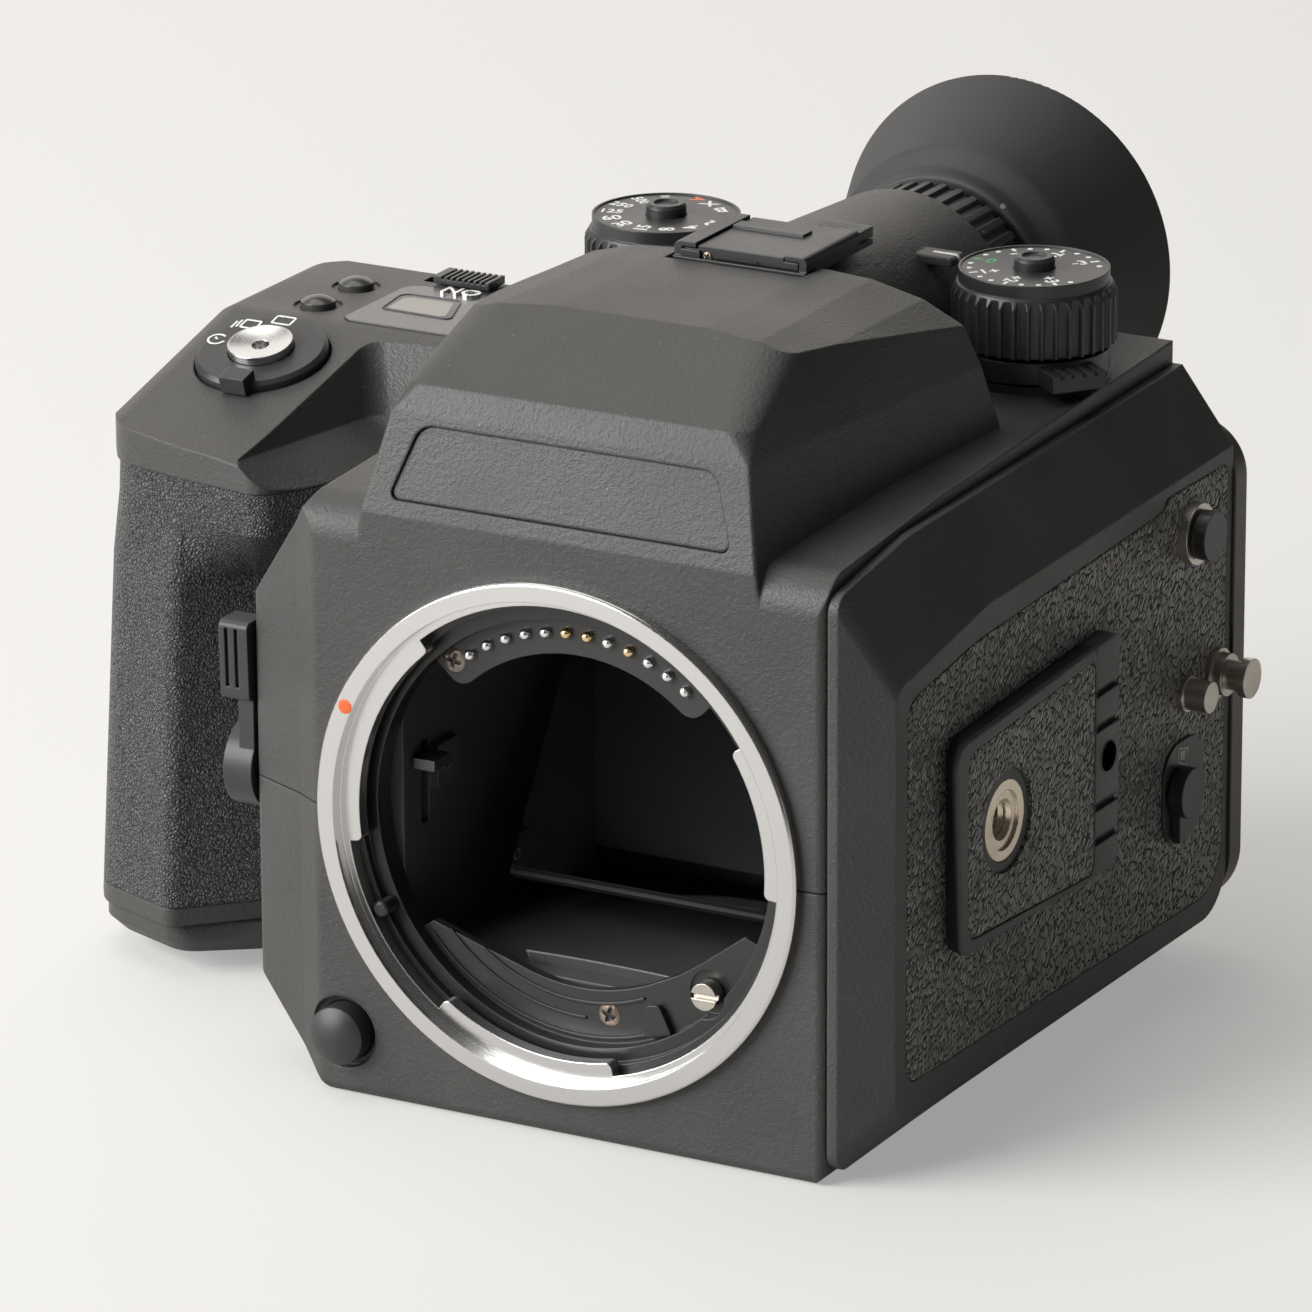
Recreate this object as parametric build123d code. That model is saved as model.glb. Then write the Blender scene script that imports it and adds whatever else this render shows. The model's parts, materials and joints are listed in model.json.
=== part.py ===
from build123d import *
import os
from math import atan2, cos, hypot, radians, sin

# Medium format single lens reflex camera body, without its lens.
# Millimetres. The origin is the centre of the lens mount on its front face.
# X runs to the right seen from the front, Y runs back through the body, Z is up.

# Lens mount
mount_radius = 38.5
barrel_radius = 36.9
seat_radius = 35.7
ledge_radius = 34.6
claw_radius = 32.6
throat_radius = 31.6
seat_depth = 2.1
claw_back = 4.3
plate_front = 7.9
throat_back = 9.4
claw_spans = ((130.0, 59.0), (235.0, 49.0), (-5.0, 38.0))

# Contact pins in the throat, counted from the right
pin_circle = 29.2
pin_radius = 0.85
pin_first_angle = 53.7
pin_pitch = 6.6
gold_pins = (3, 5, 6)
silver_pins = (0, 1, 2, 4, 7, 8, 9, 10, 11)

# Body shell
front_y = 1.7
body_back = 111.2
base_z = -44.0
seam_z = -0.5
seam_gap = 0.12
left_x = -53.5
groove_x = 42.3
frame_x = 43.9
side_front_x = 50.8
side_front_y = 9.8
side_back_x = 52.3
deck_front_z = 44.8
deck_bend_y = 36.7
deck_bend_z = 47.75
deck_back_z = 50.7

# Prism hood and finder tube
hood_foot_z = 30.0
hood_back_y = 61.0
tube_radius = 18.5
tube_end_y = 107.0
tube_front_z = 53.3
tube_back_z = 50.8
neck_end_y = 120.0
neck_radius = 13.0
bore_radius = 10.8
eyepiece_z = 50.9
ring_root = 16.2
ring_tip = 16.9
eyecup_radius = 27.7
eyecup_back = 141.5
shoe_floor_z = 69.9

# Mirror chamber and shutter
chamber_half = 29.5
chamber_floor = -24.0
chamber_top = 27.0
chamber_back = 63.55
wall = 2.0
mirror_hinge_y = 62.3
mirror_hinge_z = 21.8
mirror_length = 52.0
shutter_front = 63.7
shutter_back = 67.9
shutter_floor = -41.0
frame_half_width = 28.0
frame_half_height = 20.75
blade_count = 3
blade_height = 15.4
blade_rise = 14.3
blade_lowest = -21.6
blade_front = 65.2
blade_pitch = 0.5

# Film insert
insert_front = 70.9
chamber_x = (-42.5, 40.4)
chamber_z = (-37.5, 31.5)
spool_y = 88.0
spool_low_z = -22.6
spool_high_z = 18.3
spool_radius = 12.4
spool_half = 32.5
back_plate_back = 115.3
key_x = -4.0
key_z = 4.0

# Dials on the deck
dial_x = 30.3
dial_y = 89.5
dial_radius = 12.1
dial_flutes_top = 62.6
dial_rim_z = 64.0
dial_top_z = 66.0
lever_turn = -38.0

# Grip
grip_left_x = -97.0
grip_lean = 0.0621
grip_seam_z = 33.5
cap_left_x = -97.8
grip_base_z = -33.0
grip_rim_z = -36.0
grip_bottom_z = -40.5
grip_top_z = 48.2
slope_front_y = 38.0
slope_front_z = 39.9
slope_back_y = 70.0
ring_x = -81.0
ring_y = 57.6
ring_radius = 10.0
button_radius = 4.9
setting_x = -82.3
pocket_x = -63.9
pocket_y = (45.0, 89.6)
pocket_half = 30.0
cell_radius = 7.4
cell_half = 26.0
battery_key_y = 67.3
battery_key_z = -20.0
key_floor_x = -98.2

# Small controls
release_x = -35.6
release_z = -34.6
lever_y = 14.2
lever_x = (-58.5, -53.8)
coupler_x = 21.0
coupler_z = -20.6
lock_pin_x = -29.6
lock_pin_z = -15.2
stop_down_y = (11.5, 16.2)
socket_run = 24.6
socket_z = 2.2
switch_run = 83.5
switch_z = -11.9
sync_run = 87.8
sync_z = 26.5
stud_run = 86.5
stud_z = 2.2
post_run = 96.4
post_z = 2.5

# Clearances
running_gap = 0.05
sliding_gap = 0.15
free_gap = 0.3


def outline(points, radii=None):
    """Flat face inside a polygon whose corners may be rounded."""
    if radii is None:
        return make_face(Polyline(*points, close=True))
    return make_face(FilletPolyline(*points, radius=radii, close=True))


def plan_block(face, low, high):
    """Solid between two heights over an outline drawn in X and Y."""
    return extrude(Plane.XY.offset(low) * face, high - low)


def front_block(face, front, back):
    """Solid between two depths over an outline drawn in X and Z."""
    return extrude(Plane.XZ.offset(-back) * face, back - front)


def side_block(face, left, right):
    """Solid between two widths over an outline drawn in Y and Z."""
    return extrude(Plane.YZ.offset(left) * face, right - left)


def box(x, y, z):
    """Box from three pairs of low and high limits."""
    center = ((x[0] + x[1]) / 2, (y[0] + y[1]) / 2, (z[0] + z[1]) / 2)
    return Pos(*center) * Box(x[1] - x[0], y[1] - y[0], z[1] - z[0])


def rod_x(y, z, radius, left, right):
    return Pos((left + right) / 2, y, z) * Rot(0, 90, 0) * Cylinder(radius, right - left)


def rod_y(x, z, radius, front, back):
    return Pos(x, (front + back) / 2, z) * Rot(90, 0, 0) * Cylinder(radius, back - front)


def rod_z(x, y, radius, low, high):
    return Pos(x, y, (low + high) / 2) * Cylinder(radius, high - low)


def ring_sector(inner, outer, start, size):
    """Part of a flat ring about the lens axis, angles from +X towards +Z."""
    outside = CenterArc((0, 0), outer, start, size)
    inside = CenterArc((0, 0), inner, start, size)
    return make_face([outside, inside, Line(outside @ 0, inside @ 0), Line(outside @ 1, inside @ 1)])


def turned_z(x, y, points):
    """Body turned about an upright axis from half its section, given as radius and height."""
    return Pos(x, y, 0) * revolve(Plane.XZ * outline(points), Axis.Z, 360)


def fluted_face(root, tip, count, width):
    """Face of a disc whose rim carries flat-topped ribs, each as wide as its share of the pitch."""
    points = []
    pitch = 360 / count
    for rib in range(count):
        for share, radius in ((0.0, root), (0.14, tip), (0.14 + width, tip), (0.28 + width, root)):
            angle = radians(pitch * (rib + share))
            points.append((radius * cos(angle), radius * sin(angle)))
    return make_face(Polyline(*points, close=True))


def mirrored_outline(half):
    """Face from the right half of an outline, given from the bottom up."""
    return outline(half + [(-x, z) for x, z in reversed(half)])


# Body shell

def body_block():
    """Front body: plan outline, cross-section and deck slope intersected."""
    plan = outline(
        [(-39.5, front_y), (groove_x, front_y), (groove_x, body_back), (left_x, body_back), (left_x, 8.6),
         (-43.5, 4.2)],
        [2.0, 1.6, 0.0, 0.0, 2.0, 1.0])
    section = outline(
        [(-38.0, base_z), (40.5, base_z), (groove_x, -42.2), (groove_x, 53.0), (-35.6, 53.0), (-39.5, 46.5),
         (-43.2, 40.6), (left_x, 26.5), (left_x, -30.0), (-43.5, -38.8)],
        [0.0, 1.0, 0.0, 0.0, 0.0, 2.5, 1.0, 2.0, 2.0, 2.0])
    profile = outline(
        [(front_y, base_z), (body_back, base_z), (body_back, deck_back_z), (deck_bend_y, deck_bend_z),
         (front_y, deck_front_z)],
        [1.5, 0.0, 0.0, 30.0, 6.0])
    block = plan_block(plan, base_z, 53.0)
    block &= front_block(section, 0.0, body_back)
    block &= side_block(profile, -60.0, 60.0)
    return block


def hood_plan(height, front, front_half, back_half, corner):
    """Level cut through the hood: front edge, half widths and front corner radius."""
    points = [(-front_half, front), (front_half, front), (back_half, 66.5), (-back_half, 66.5)]
    return Plane.XY.offset(height) * outline(points, [corner, corner, 0.0, 0.0])


def hood_block():
    """Prism hood: lofted level cuts under a crowned top, closed by its side profile at the back."""
    walls = loft(
        [hood_plan(hood_foot_z, front_y, 33.9, 38.5, 0.5), hood_plan(44.3, front_y, 31.5, 37.5, 0.5),
         hood_plan(58.5, 5.6, 28.5, 35.2, 0.6), hood_plan(62.4, 7.2, 27.2, 34.0, 4.0),
         hood_plan(73.0, 26.6, 23.9, 31.3, 7.5)],
        ruled=True)
    front = mirrored_outline([(40.0, hood_foot_z), (40.0, 66.5), (28.0, 69.6), (22.0, 71.2), (12.0, 71.8)])
    back = mirrored_outline([(40.0, hood_foot_z), (40.0, 60.6), (26.8, 67.8), (19.0, 70.0), (12.0, 70.6)])
    crown = loft([Plane.XZ.offset(1.0) * front, Plane.XZ.offset(-62.0) * back], ruled=True)
    crown += front_block(back, 62.0, 68.0)
    profile = outline(
        [(-1.0, hood_foot_z), (-1.0, 80.0), (55.0, 80.0), (hood_back_y, 68.0), (66.5, 47.0),
         (66.5, hood_foot_z)])
    return walls & crown & side_block(profile, -45.0, 45.0)


def prism_face(grow):
    """Side outline of the finder prism, or of the space round it."""
    low = chamber_top + 2.5
    return outline([(13.0 - grow, low - grow), (59.5 + grow, low - grow), (59.5 + grow, 58.0 + grow),
                    (40.0, 66.0 + grow), (28.0, 66.0 + grow), (13.0 - grow, 46.0)])


def nameplate_face(grow):
    return outline(
        [(-27.2 - grow, 46.6 - grow), (27.2 + grow, 46.6 - grow), (23.4 + grow, 57.0 + grow),
         (-23.4 - grow, 57.0 + grow)],
        [1.2, 1.2, 3.0, 3.0])


def nameplate_slab(low, high):
    """Slab that leans with the hood's front face, between two depths into it."""
    foot = 1.4
    top = 6.0
    face = outline([(foot + low, 44.0), (foot + high, 44.0), (top + high, 60.0), (top + low, 60.0)])
    return side_block(face, -30.0, 30.0)


def body_hollows():
    """Mirror chamber, shutter bay, prism space, eyepiece bore and film chamber."""
    hollows = rod_y(0, 0, barrel_radius, front_y - 1.0, throat_back)
    hollows += box((-chamber_half - wall, chamber_half + wall), (throat_back - 0.5, shutter_back),
                   (chamber_floor - wall, chamber_top + 2.5))
    hollows += box((-34.5, 34.5), (shutter_front - 0.1, shutter_back), (shutter_floor, chamber_top))
    hollows += side_block(prism_face(0.4), -25.0, 25.0)
    hollows += rod_y(0, eyepiece_z, bore_radius, 59.0, body_back + 1.0)
    hollows += rod_y(0, eyepiece_z, ring_tip + 0.5, tube_end_y, body_back + 1.0)
    hollows += box(chamber_x, (insert_front - 1.4, body_back + 1.0), chamber_z)
    hollows += box((-29.0, 29.0), (shutter_back - 0.5, insert_front), (-21.8, 21.8))
    return hollows


def body_cuts():
    """Recesses and bores on the outside of the shell."""
    cuts = rod_y(release_x, release_z, 5.4, 0.0, front_y + 1.3)
    cuts += rod_y(release_x, release_z, 4.3 + sliding_gap, 0.0, 9.6)
    cuts += rod_x(lever_y, seam_z, 3.0 + running_gap, left_x - 1.0, -47.0)
    cuts += rod_z(0, 50, 9.0, base_z - 1.0, base_z + 3.0)
    cuts += rod_z(0, 50, 4.6, base_z - 1.0, base_z + 10.0)
    cuts += box((-11.2, 11.2), (54.0, 77.2), (shoe_floor_z, 80.0))
    cuts += front_block(nameplate_face(0.15), 0.0, 12.0) & nameplate_slab(-3.0, 1.3)
    for side in (-1, 1):
        cuts += rod_z(side * dial_x, dial_y, 5.0 + running_gap, 40.0, 60.0)
    return cuts


def dial_collar(side):
    """Stepped collar under a dial, standing on the deck."""
    collar = rod_z(side * dial_x, dial_y, 10.8, 47.0, 50.9)
    return collar + rod_z(side * dial_x, dial_y, 8.6, 50.0, 54.9)


def housings():
    """Lower and upper housing, parted at the height of the lens axis."""
    shell = body_block()
    for side in (-1, 1):
        shell += dial_collar(side)
    shell += hood_block()
    shell -= body_hollows()
    shell -= body_cuts()
    lower = shell - box((-99, 60), (-5, 130), (seam_z - seam_gap, 90))
    upper = shell - box((-99, 60), (-5, 130), (-60, seam_z + seam_gap))
    return lower, upper


def nameplate():
    return front_block(nameplate_face(0.0), 0.0, 12.0) & nameplate_slab(0.55, 1.25)


def finder_housing():
    """Round tube falling slightly to the back, with dial bays and the eyepiece neck."""
    flank_z = 47.0

    def arch(depth, center_z, radius):
        top = CenterArc((0, center_z), radius, 0, 180)
        left = Line((-radius, center_z), (-radius, flank_z))
        right = Line((radius, center_z), (radius, flank_z))
        foot = Line((-radius, flank_z), (radius, flank_z))
        return Plane.XZ.offset(-depth) * make_face([top, left, right, foot])

    front = arch(hood_back_y - 2.0, tube_front_z, tube_radius)
    back = arch(tube_end_y, tube_back_z, tube_radius - 0.2)
    tube = loft([front, back], ruled=True)
    for side in (-1, 1):
        tube -= rod_z(side * dial_x, dial_y, dial_radius + 0.5, 46.0, 70.0)
    tube += chamfer(box((11.0, 18.0), (87.9, 91.7), (64.4, 65.8)).edges().group_by(Axis.X)[-1], 0.4)
    tube -= body_block()
    tube -= hood_block()
    tube -= dial_collar(1) + dial_collar(-1)
    tube += rod_y(0, eyepiece_z, neck_radius, tube_end_y, neck_end_y)
    tube -= box((-11.2, 11.2), (54.0, 77.2), (shoe_floor_z, 80.0))
    return tube - rod_y(0, eyepiece_z, bore_radius, hood_back_y - 4.0, neck_end_y + 1.0)


def base_socket():
    """Steel tripod bush in the base."""
    bush = rod_z(0, 50, 8.9, base_z + 0.1, base_z + 3.0) + rod_z(0, 50, 4.55, base_z + 2.0, base_z + 9.9)
    return bush - rod_z(0, 50, 3.0, base_z - 1.0, base_z + 8.5)


# Lens mount and throat

def mount_ring():
    """Bright ring: flat flange, round seat, and a ledge that carries three claws."""
    ring = rod_y(0, 0, mount_radius, 0.0, front_y)
    ring = chamfer(ring.edges().filter_by(GeomType.CIRCLE).group_by(Axis.Y)[0], 0.35)
    ring += rod_y(0, 0, barrel_radius - 0.05, 1.0, claw_back)
    ring -= rod_y(0, 0, seat_radius, -1.0, seat_depth)
    ring -= rod_y(0, 0, ledge_radius, 0.0, claw_back + 1.0)
    for start, size in claw_spans:
        claw = front_block(ring_sector(claw_radius, ledge_radius + 0.4, start, size), seat_depth, claw_back)
        tips = claw.edges().filter_by(Axis.Y).sort_by(lambda edge: hypot(edge.center().X, edge.center().Z))
        ring += fillet(tips[:2], 0.9)
    return ring


def throat_ring():
    """Black stepped ring behind the claws with the lower baffle plate."""
    ring = rod_y(0, 0, barrel_radius - 0.1, claw_back + 0.05, throat_back)
    ring -= rod_y(0, 0, 33.6, claw_back - 1.0, claw_back + 1.4)
    ring -= rod_y(0, 0, throat_radius, claw_back - 1.0, throat_back + 1.0)
    inner = [(-9.9, -21.9), (-16.4, -20.0), (-24.0, -17.6)]
    outer_left = (-27.4, -20.1)
    outer_right = (30.9, -13.3)
    right = [(26.4, -11.4), (19.2, -16.8), (16.0, -18.9), (11.2, -21.2)]
    rim = ThreePointArc(outer_left, (0, -34.0), outer_right)
    lip = ThreePointArc(right[-1], (1.0, -23.6), inner[0])
    edges = [rim, Polyline(outer_right, *right), lip, Polyline(*inner, outer_left)]
    ring += front_block(make_face(edges), plate_front, throat_back)
    ring -= rod_y(coupler_x, coupler_z, 1.4 + running_gap, 0, throat_back + 1)
    ring -= rod_y(coupler_x, coupler_z, 3.3, 0, plate_front + 0.4)
    ring -= rod_y(lock_pin_x, lock_pin_z, 1.2 + running_gap, claw_back, throat_back + 1)
    return ring


def contact_block():
    block = front_block(ring_sector(26.0, throat_radius - 0.02, 46.0, 90.5), plate_front, throat_back)
    tips = block.edges().filter_by(Axis.Y).sort_by(lambda edge: hypot(edge.center().X, edge.center().Z))
    return fillet(tips[:2], 2.6)


def contact_pins(numbers):
    """Domed pins on one circle, counted from the right."""
    pins = []
    for number in numbers:
        angle = radians(pin_first_angle + number * pin_pitch)
        x = pin_circle * cos(angle)
        z = pin_circle * sin(angle)
        shank = rod_y(x, z, pin_radius, plate_front - 0.4, plate_front)
        dome = Pos(x, plate_front - 0.4, z) * Sphere(pin_radius)
        dome &= box((x - 1, x + 1), (plate_front - 2, plate_front - 0.4), (z - 1, z + 1))
        pins.append(shank + dome)
    return Compound(children=pins)


def af_coupler():
    """Slotted drive disc on its shaft in the baffle plate."""
    disc = rod_y(coupler_x, coupler_z, 2.0, plate_front - 2.3, plate_front)
    disc -= box((coupler_x - 3, coupler_x + 3), (plate_front - 2.4, plate_front - 1.4),
                (coupler_z - 0.4, coupler_z + 0.4))
    return disc + rod_y(coupler_x, coupler_z, 1.4, plate_front - 0.5, throat_back + 1.2)


def lens_lock_pin():
    pin = rod_y(lock_pin_x, lock_pin_z, 1.2, 2.4, 6.8)
    return chamfer(pin.edges().group_by(Axis.Y)[0], 0.3)


def release_button():
    """Domed lens release button in its round recess."""
    dome = Pos(release_x, 5.6, release_z) * Sphere(7.4)
    return rod_y(release_x, release_z, 4.3, -2.5, 6.6) & dome


# Mirror chamber

def mirror_box():
    """Open trough between throat and shutter, with the stop-down lever's slot and bracket."""
    outer_half = chamber_half + wall - 0.05
    outside = box((-outer_half, outer_half), (throat_back + 0.05, chamber_back),
                  (chamber_floor - wall + 0.05, chamber_top))
    inside = box((-chamber_half, chamber_half), (throat_back - 1.0, chamber_back + 1.0),
                 (chamber_floor, chamber_top + 1.0))
    trough = outside - inside
    trough -= box((-chamber_half - wall - 1.0, -chamber_half + 1.0), (14.4, 16.6), (-6.0, 6.5))
    trough += box((-chamber_half, -chamber_half + 1.2), (17.2, 23.0), (-1.2, 5.2))
    trough += box((-11.0, 11.0), (throat_back + 0.05, 13.0), (chamber_floor, chamber_floor + 0.8))
    hinge_half = chamber_half + 1.5
    return trough - rod_x(mirror_hinge_y, mirror_hinge_z, 0.8 + running_gap, -hinge_half, hinge_half)


def mirror_plane():
    """Plane of the mirror at rest, its local Y rising to the hinge."""
    return Plane(origin=(0, mirror_hinge_y, mirror_hinge_z), x_dir=(1, 0, 0), z_dir=(0, -1, 1))


def mirror_frame():
    """Thin carrier that tapers to the front, on its hinge rod."""
    rim = 0.6
    face = outline([(-20.6 - rim, -mirror_length - rim), (20.6 + rim, -mirror_length - rim),
                    (26.6 + rim, -3.0), (26.6 + rim, 0.0), (-26.6 - rim, 0.0), (-26.6 - rim, -3.0)])
    plate = extrude(mirror_plane() * face, -1.3)
    return plate + rod_x(mirror_hinge_y, mirror_hinge_z, 0.8, -chamber_half - 1.2, chamber_half + 1.2)


def reflex_mirror():
    face = outline([(-20.6, -mirror_length), (20.6, -mirror_length), (26.4, -4.0), (-26.4, -4.0)])
    return extrude(mirror_plane() * face, 1.5)


def aperture_lever():
    """Small stop-down tab that reaches through the slot in the chamber's left wall."""
    tab = box((-chamber_half + 0.4, -25.6), stop_down_y, (3.4, 5.0))
    return tab + box((-chamber_half - 1.6, -27.5), (14.7, stop_down_y[1]), (3.4, 5.0))


def focusing_screen():
    return box((-31.0, 31.0), (13.0, 60.5), (chamber_top + 0.05, chamber_top + 1.7))


def finder_prism():
    return side_block(prism_face(0.0), -24.4, 24.4)


def eyepiece_lens():
    """Biconvex eyepiece inside the neck."""
    front = 108.0
    back = 113.0
    curve = 26.0
    blank = rod_y(0, eyepiece_z, bore_radius - 0.1, front, back)
    blank &= Pos(0, front + curve, eyepiece_z) * Sphere(curve)
    blank &= Pos(0, back - curve, eyepiece_z) * Sphere(curve)
    return blank


def shutter_frame():
    """Frame with the film gate and the bay below it where the blades park."""
    plate = box((-34.3, 34.3), (shutter_front, shutter_back - 0.1), (shutter_floor + 0.2, chamber_top - 0.2))
    gate = box((-frame_half_width, frame_half_width), (0, 100), (-frame_half_height, frame_half_height))
    slot = box((-31.0, 31.0), (64.9, 66.7), (shutter_floor + 1.5, 24.0))
    return plate - gate - slot


def shutter_blade(number):
    """One closed blade, each lapping the one below."""
    bottom = blade_lowest + number * blade_rise
    front = blade_front + number * blade_pitch
    return box((-30.7, 30.7), (front, front + 0.2), (bottom, bottom + blade_height))


# Film insert

def back_face():
    """Outline of the back plate, whose rim shows along the rear edge."""
    return outline([(-52.9, -37.4), (52.7, -37.4), (52.7, 38.5), (-52.9, 38.5)], [8.0, 10.0, 8.0, 8.0])


def film_insert():
    """Film holder with an open well for each spool, and the camera's back plate."""
    x = (chamber_x[0] + 0.3, chamber_x[1] - 0.3)
    z = (chamber_z[0] + 0.3, chamber_z[1] - 0.3)
    body = box(x, (insert_front, body_back + 1.0), z)
    well = spool_radius + 0.4
    reach = spool_half + 0.4
    for center, outside in ((spool_low_z, chamber_z[0]), (spool_high_z, chamber_z[1])):
        body -= rod_x(spool_y, center, well, -reach, reach)
        low = min(center, outside)
        high = max(center, outside)
        body -= box((-reach, reach), (spool_y - well, spool_y + well), (low, high))
        body -= rod_x(spool_y, center, 2.5 + running_gap, -37.0, 37.0)
    body -= box((-31.0, 31.0), (insert_front - 1.0, insert_front + 3.0), (-24.0, 24.0))
    plate = front_block(back_face(), body_back + free_gap, back_plate_back)
    plate -= rod_y(0, eyepiece_z, ring_tip + 0.7, 100.0, 120.0)
    plate -= rod_y(key_x, key_z, 10.0, back_plate_back - 1.6, back_plate_back + 1.0)
    return body + plate


def film_spool(center):
    """Spool with two flanges and a slotted core, on its end pivots."""
    core = rod_x(spool_y, center, 6.0, -spool_half, spool_half)
    core -= box((-25.0, 25.0), (spool_y - 7.0, spool_y + 7.0), (center - 0.5, center + 0.5))
    for left, right in ((-spool_half, -spool_half + 1.2), (spool_half - 1.2, spool_half)):
        core += rod_x(spool_y, center, spool_radius, left, right)
    return core + rod_x(spool_y, center, 2.5, -36.5, 36.5)


def pressure_plate():
    plate = box((-30.5, 30.5), (insert_front + 0.4, insert_front + 1.4), (-23.5, 23.5))
    return plate + box((-4.0, 4.0), (insert_front + 1.3, insert_front + 2.2), (-8.0, 8.0))


def film_insert_key():
    """Key that locks the insert, lying in its round recess."""
    disc = rod_y(key_x, key_z, 9.7, back_plate_back - 1.5, back_plate_back - 0.3)
    wing = box((key_x - 8.0, key_x + 8.0), (back_plate_back - 0.4, back_plate_back + 0.3),
               (key_z - 1.2, key_z + 1.2))
    return disc + wing


# Finder parts

def diopter_ring():
    """Ribbed ring that turns on the eyepiece neck."""
    ribs = Pos(0, eyepiece_z) * fluted_face(ring_root, ring_tip, 40, 0.4)
    ring = front_block(ribs, tube_end_y + free_gap, 117.2)
    ring += rod_y(0, eyepiece_z, 15.6, 117.0, 118.4)
    return ring - rod_y(0, eyepiece_z, neck_radius + running_gap, 100.0, 130.0)


def eyecup():
    """Thin flared rubber cup, revolved about the eyepiece axis."""
    bore = neck_radius + 0.02
    profile = [(bore, 118.8), (17.4, 118.8), (18.0, 121.5), (20.6, 124.0), (22.4, 128.5),
               (eyecup_radius, eyecup_back), (eyecup_radius - 1.6, eyecup_back), (20.6, 128.8), (18.2, 125.2),
               (15.6, 123.0), (bore, 122.4)]
    radii = [0.0, 0.8, 1.5, 3.0, 12.0, 0.4, 0.4, 12.0, 2.0, 1.0, 0.0]
    turned = revolve(outline(profile, radii), Axis.Y, 360)
    return Pos(0, 0, eyepiece_z) * turned


def hot_shoe():
    """Accessory shoe: floor, side rails and the lips over the foot."""
    shoe = box((-10.7, 10.7), (55.6, 76.6), (shoe_floor_z + 0.03, shoe_floor_z + 0.8))
    rail = outline([(7.2, 72.1), (9.5, 72.1), (9.5, 70.4), (10.7, 70.4), (10.7, 72.9), (7.2, 72.9)],
                   [0.0, 0.0, 0.0, 0.0, 0.9, 0.0])
    right = front_block(rail, 56.1, 72.6)
    return shoe + right + mirror(right, Plane.YZ)


def shoe_cover():
    """Slide-in cover: a foot under the lips, a panel between them and a ribbed tab behind."""
    cover = box((-9.2, 9.2), (56.3, 73.0), (shoe_floor_z + 0.95, 71.9))
    cover += box((-6.9, 6.9), (56.3, 73.0), (71.8, 72.5))
    cover += box((-6.9, 4.6), (66.7, 69.4), (72.4, 72.9))
    tab = box((3.0, 10.4), (72.9, 77.2), (shoe_floor_z + 0.95, 72.4))
    for groove in range(3):
        tab -= box((2.0, 11.0), (73.9 + groove, 74.3 + groove), (72.0, 73.0))
    return cover + tab


# Dials

def dial(side):
    """Ribbed dial on its shaft, with the well of its lock button."""
    x = side * dial_x
    ribs = fluted_face(dial_radius - 0.6, dial_radius, 36, 0.14)
    flutes = plan_block(Pos(x, dial_y) * ribs, 55.2, dial_rim_z)
    rim = dial_radius - 0.8
    body = flutes & turned_z(
        x, dial_y, [(0, 55.2), (13.0, 55.2), (13.0, dial_flutes_top), (dial_radius, dial_flutes_top),
                    (rim, dial_rim_z), (0, dial_rim_z)])
    body += turned_z(
        x, dial_y, [(0, 63.5), (rim - 0.3, 63.5), (rim - 0.3, dial_top_z), (rim - 0.7, dial_top_z),
                    (rim - 0.7, dial_top_z - 0.2), (0, dial_top_z - 0.2)])
    body += rod_z(x, dial_y, 5.0, 44.0, 56.0)
    return body - rod_z(x, dial_y, 3.0 + running_gap, 60.0, 70.0)


def dial_lock(side):
    """Lock button with a shallow dish in its top."""
    half = [(0, 61.5), (3.0, 61.5), (3.0, 67.1), (2.6, 67.6), (1.9, 67.6), (1.6, 67.2), (0, 67.2)]
    return turned_z(side * dial_x, dial_y, half)


def metering_lever():
    """Flat ring round the collar with a grooved finger tab."""
    ring = rod_z(dial_x, dial_y, 11.2, 51.3, 54.5)
    turn = Pos(dial_x, dial_y, 52.6) * Rot(0, 0, lever_turn)
    tab = turn * Pos(12.0, 0, 0) * Box(6.4, 8.4, 2.6)
    for groove in range(4):
        tab -= turn * Pos(14.0, -2.7 + 1.8 * groove, 1.3) * Box(5.0, 0.7, 1.2)
    return ring + tab - rod_z(dial_x, dial_y, 8.6 + running_gap, 50.0, 56.0)


# Side of the body

def side_plane(depth):
    """Plane of the right side, which flares to the back. Local X runs back, local Y up."""
    run = Vector(side_back_x - side_front_x, body_back - side_front_y, 0).normalized()
    normal = Vector(run.Y, -run.X, 0)
    return Plane(origin=Vector(side_front_x, side_front_y, 0) + normal * depth, x_dir=run, z_dir=normal)


def on_side(face, depth, height):
    """Solid that stands on the right side from one depth to another."""
    return extrude(side_plane(depth) * face, height - depth)


def along_side(face, low, high):
    """Solid between two heights over an outline drawn along the side and outward from it."""
    base = side_plane(0.0)
    plane = Plane(origin=base.origin + Vector(0, 0, high), x_dir=base.x_dir, z_dir=(0, 0, -1))
    return extrude(plane * face, high - low)


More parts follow.
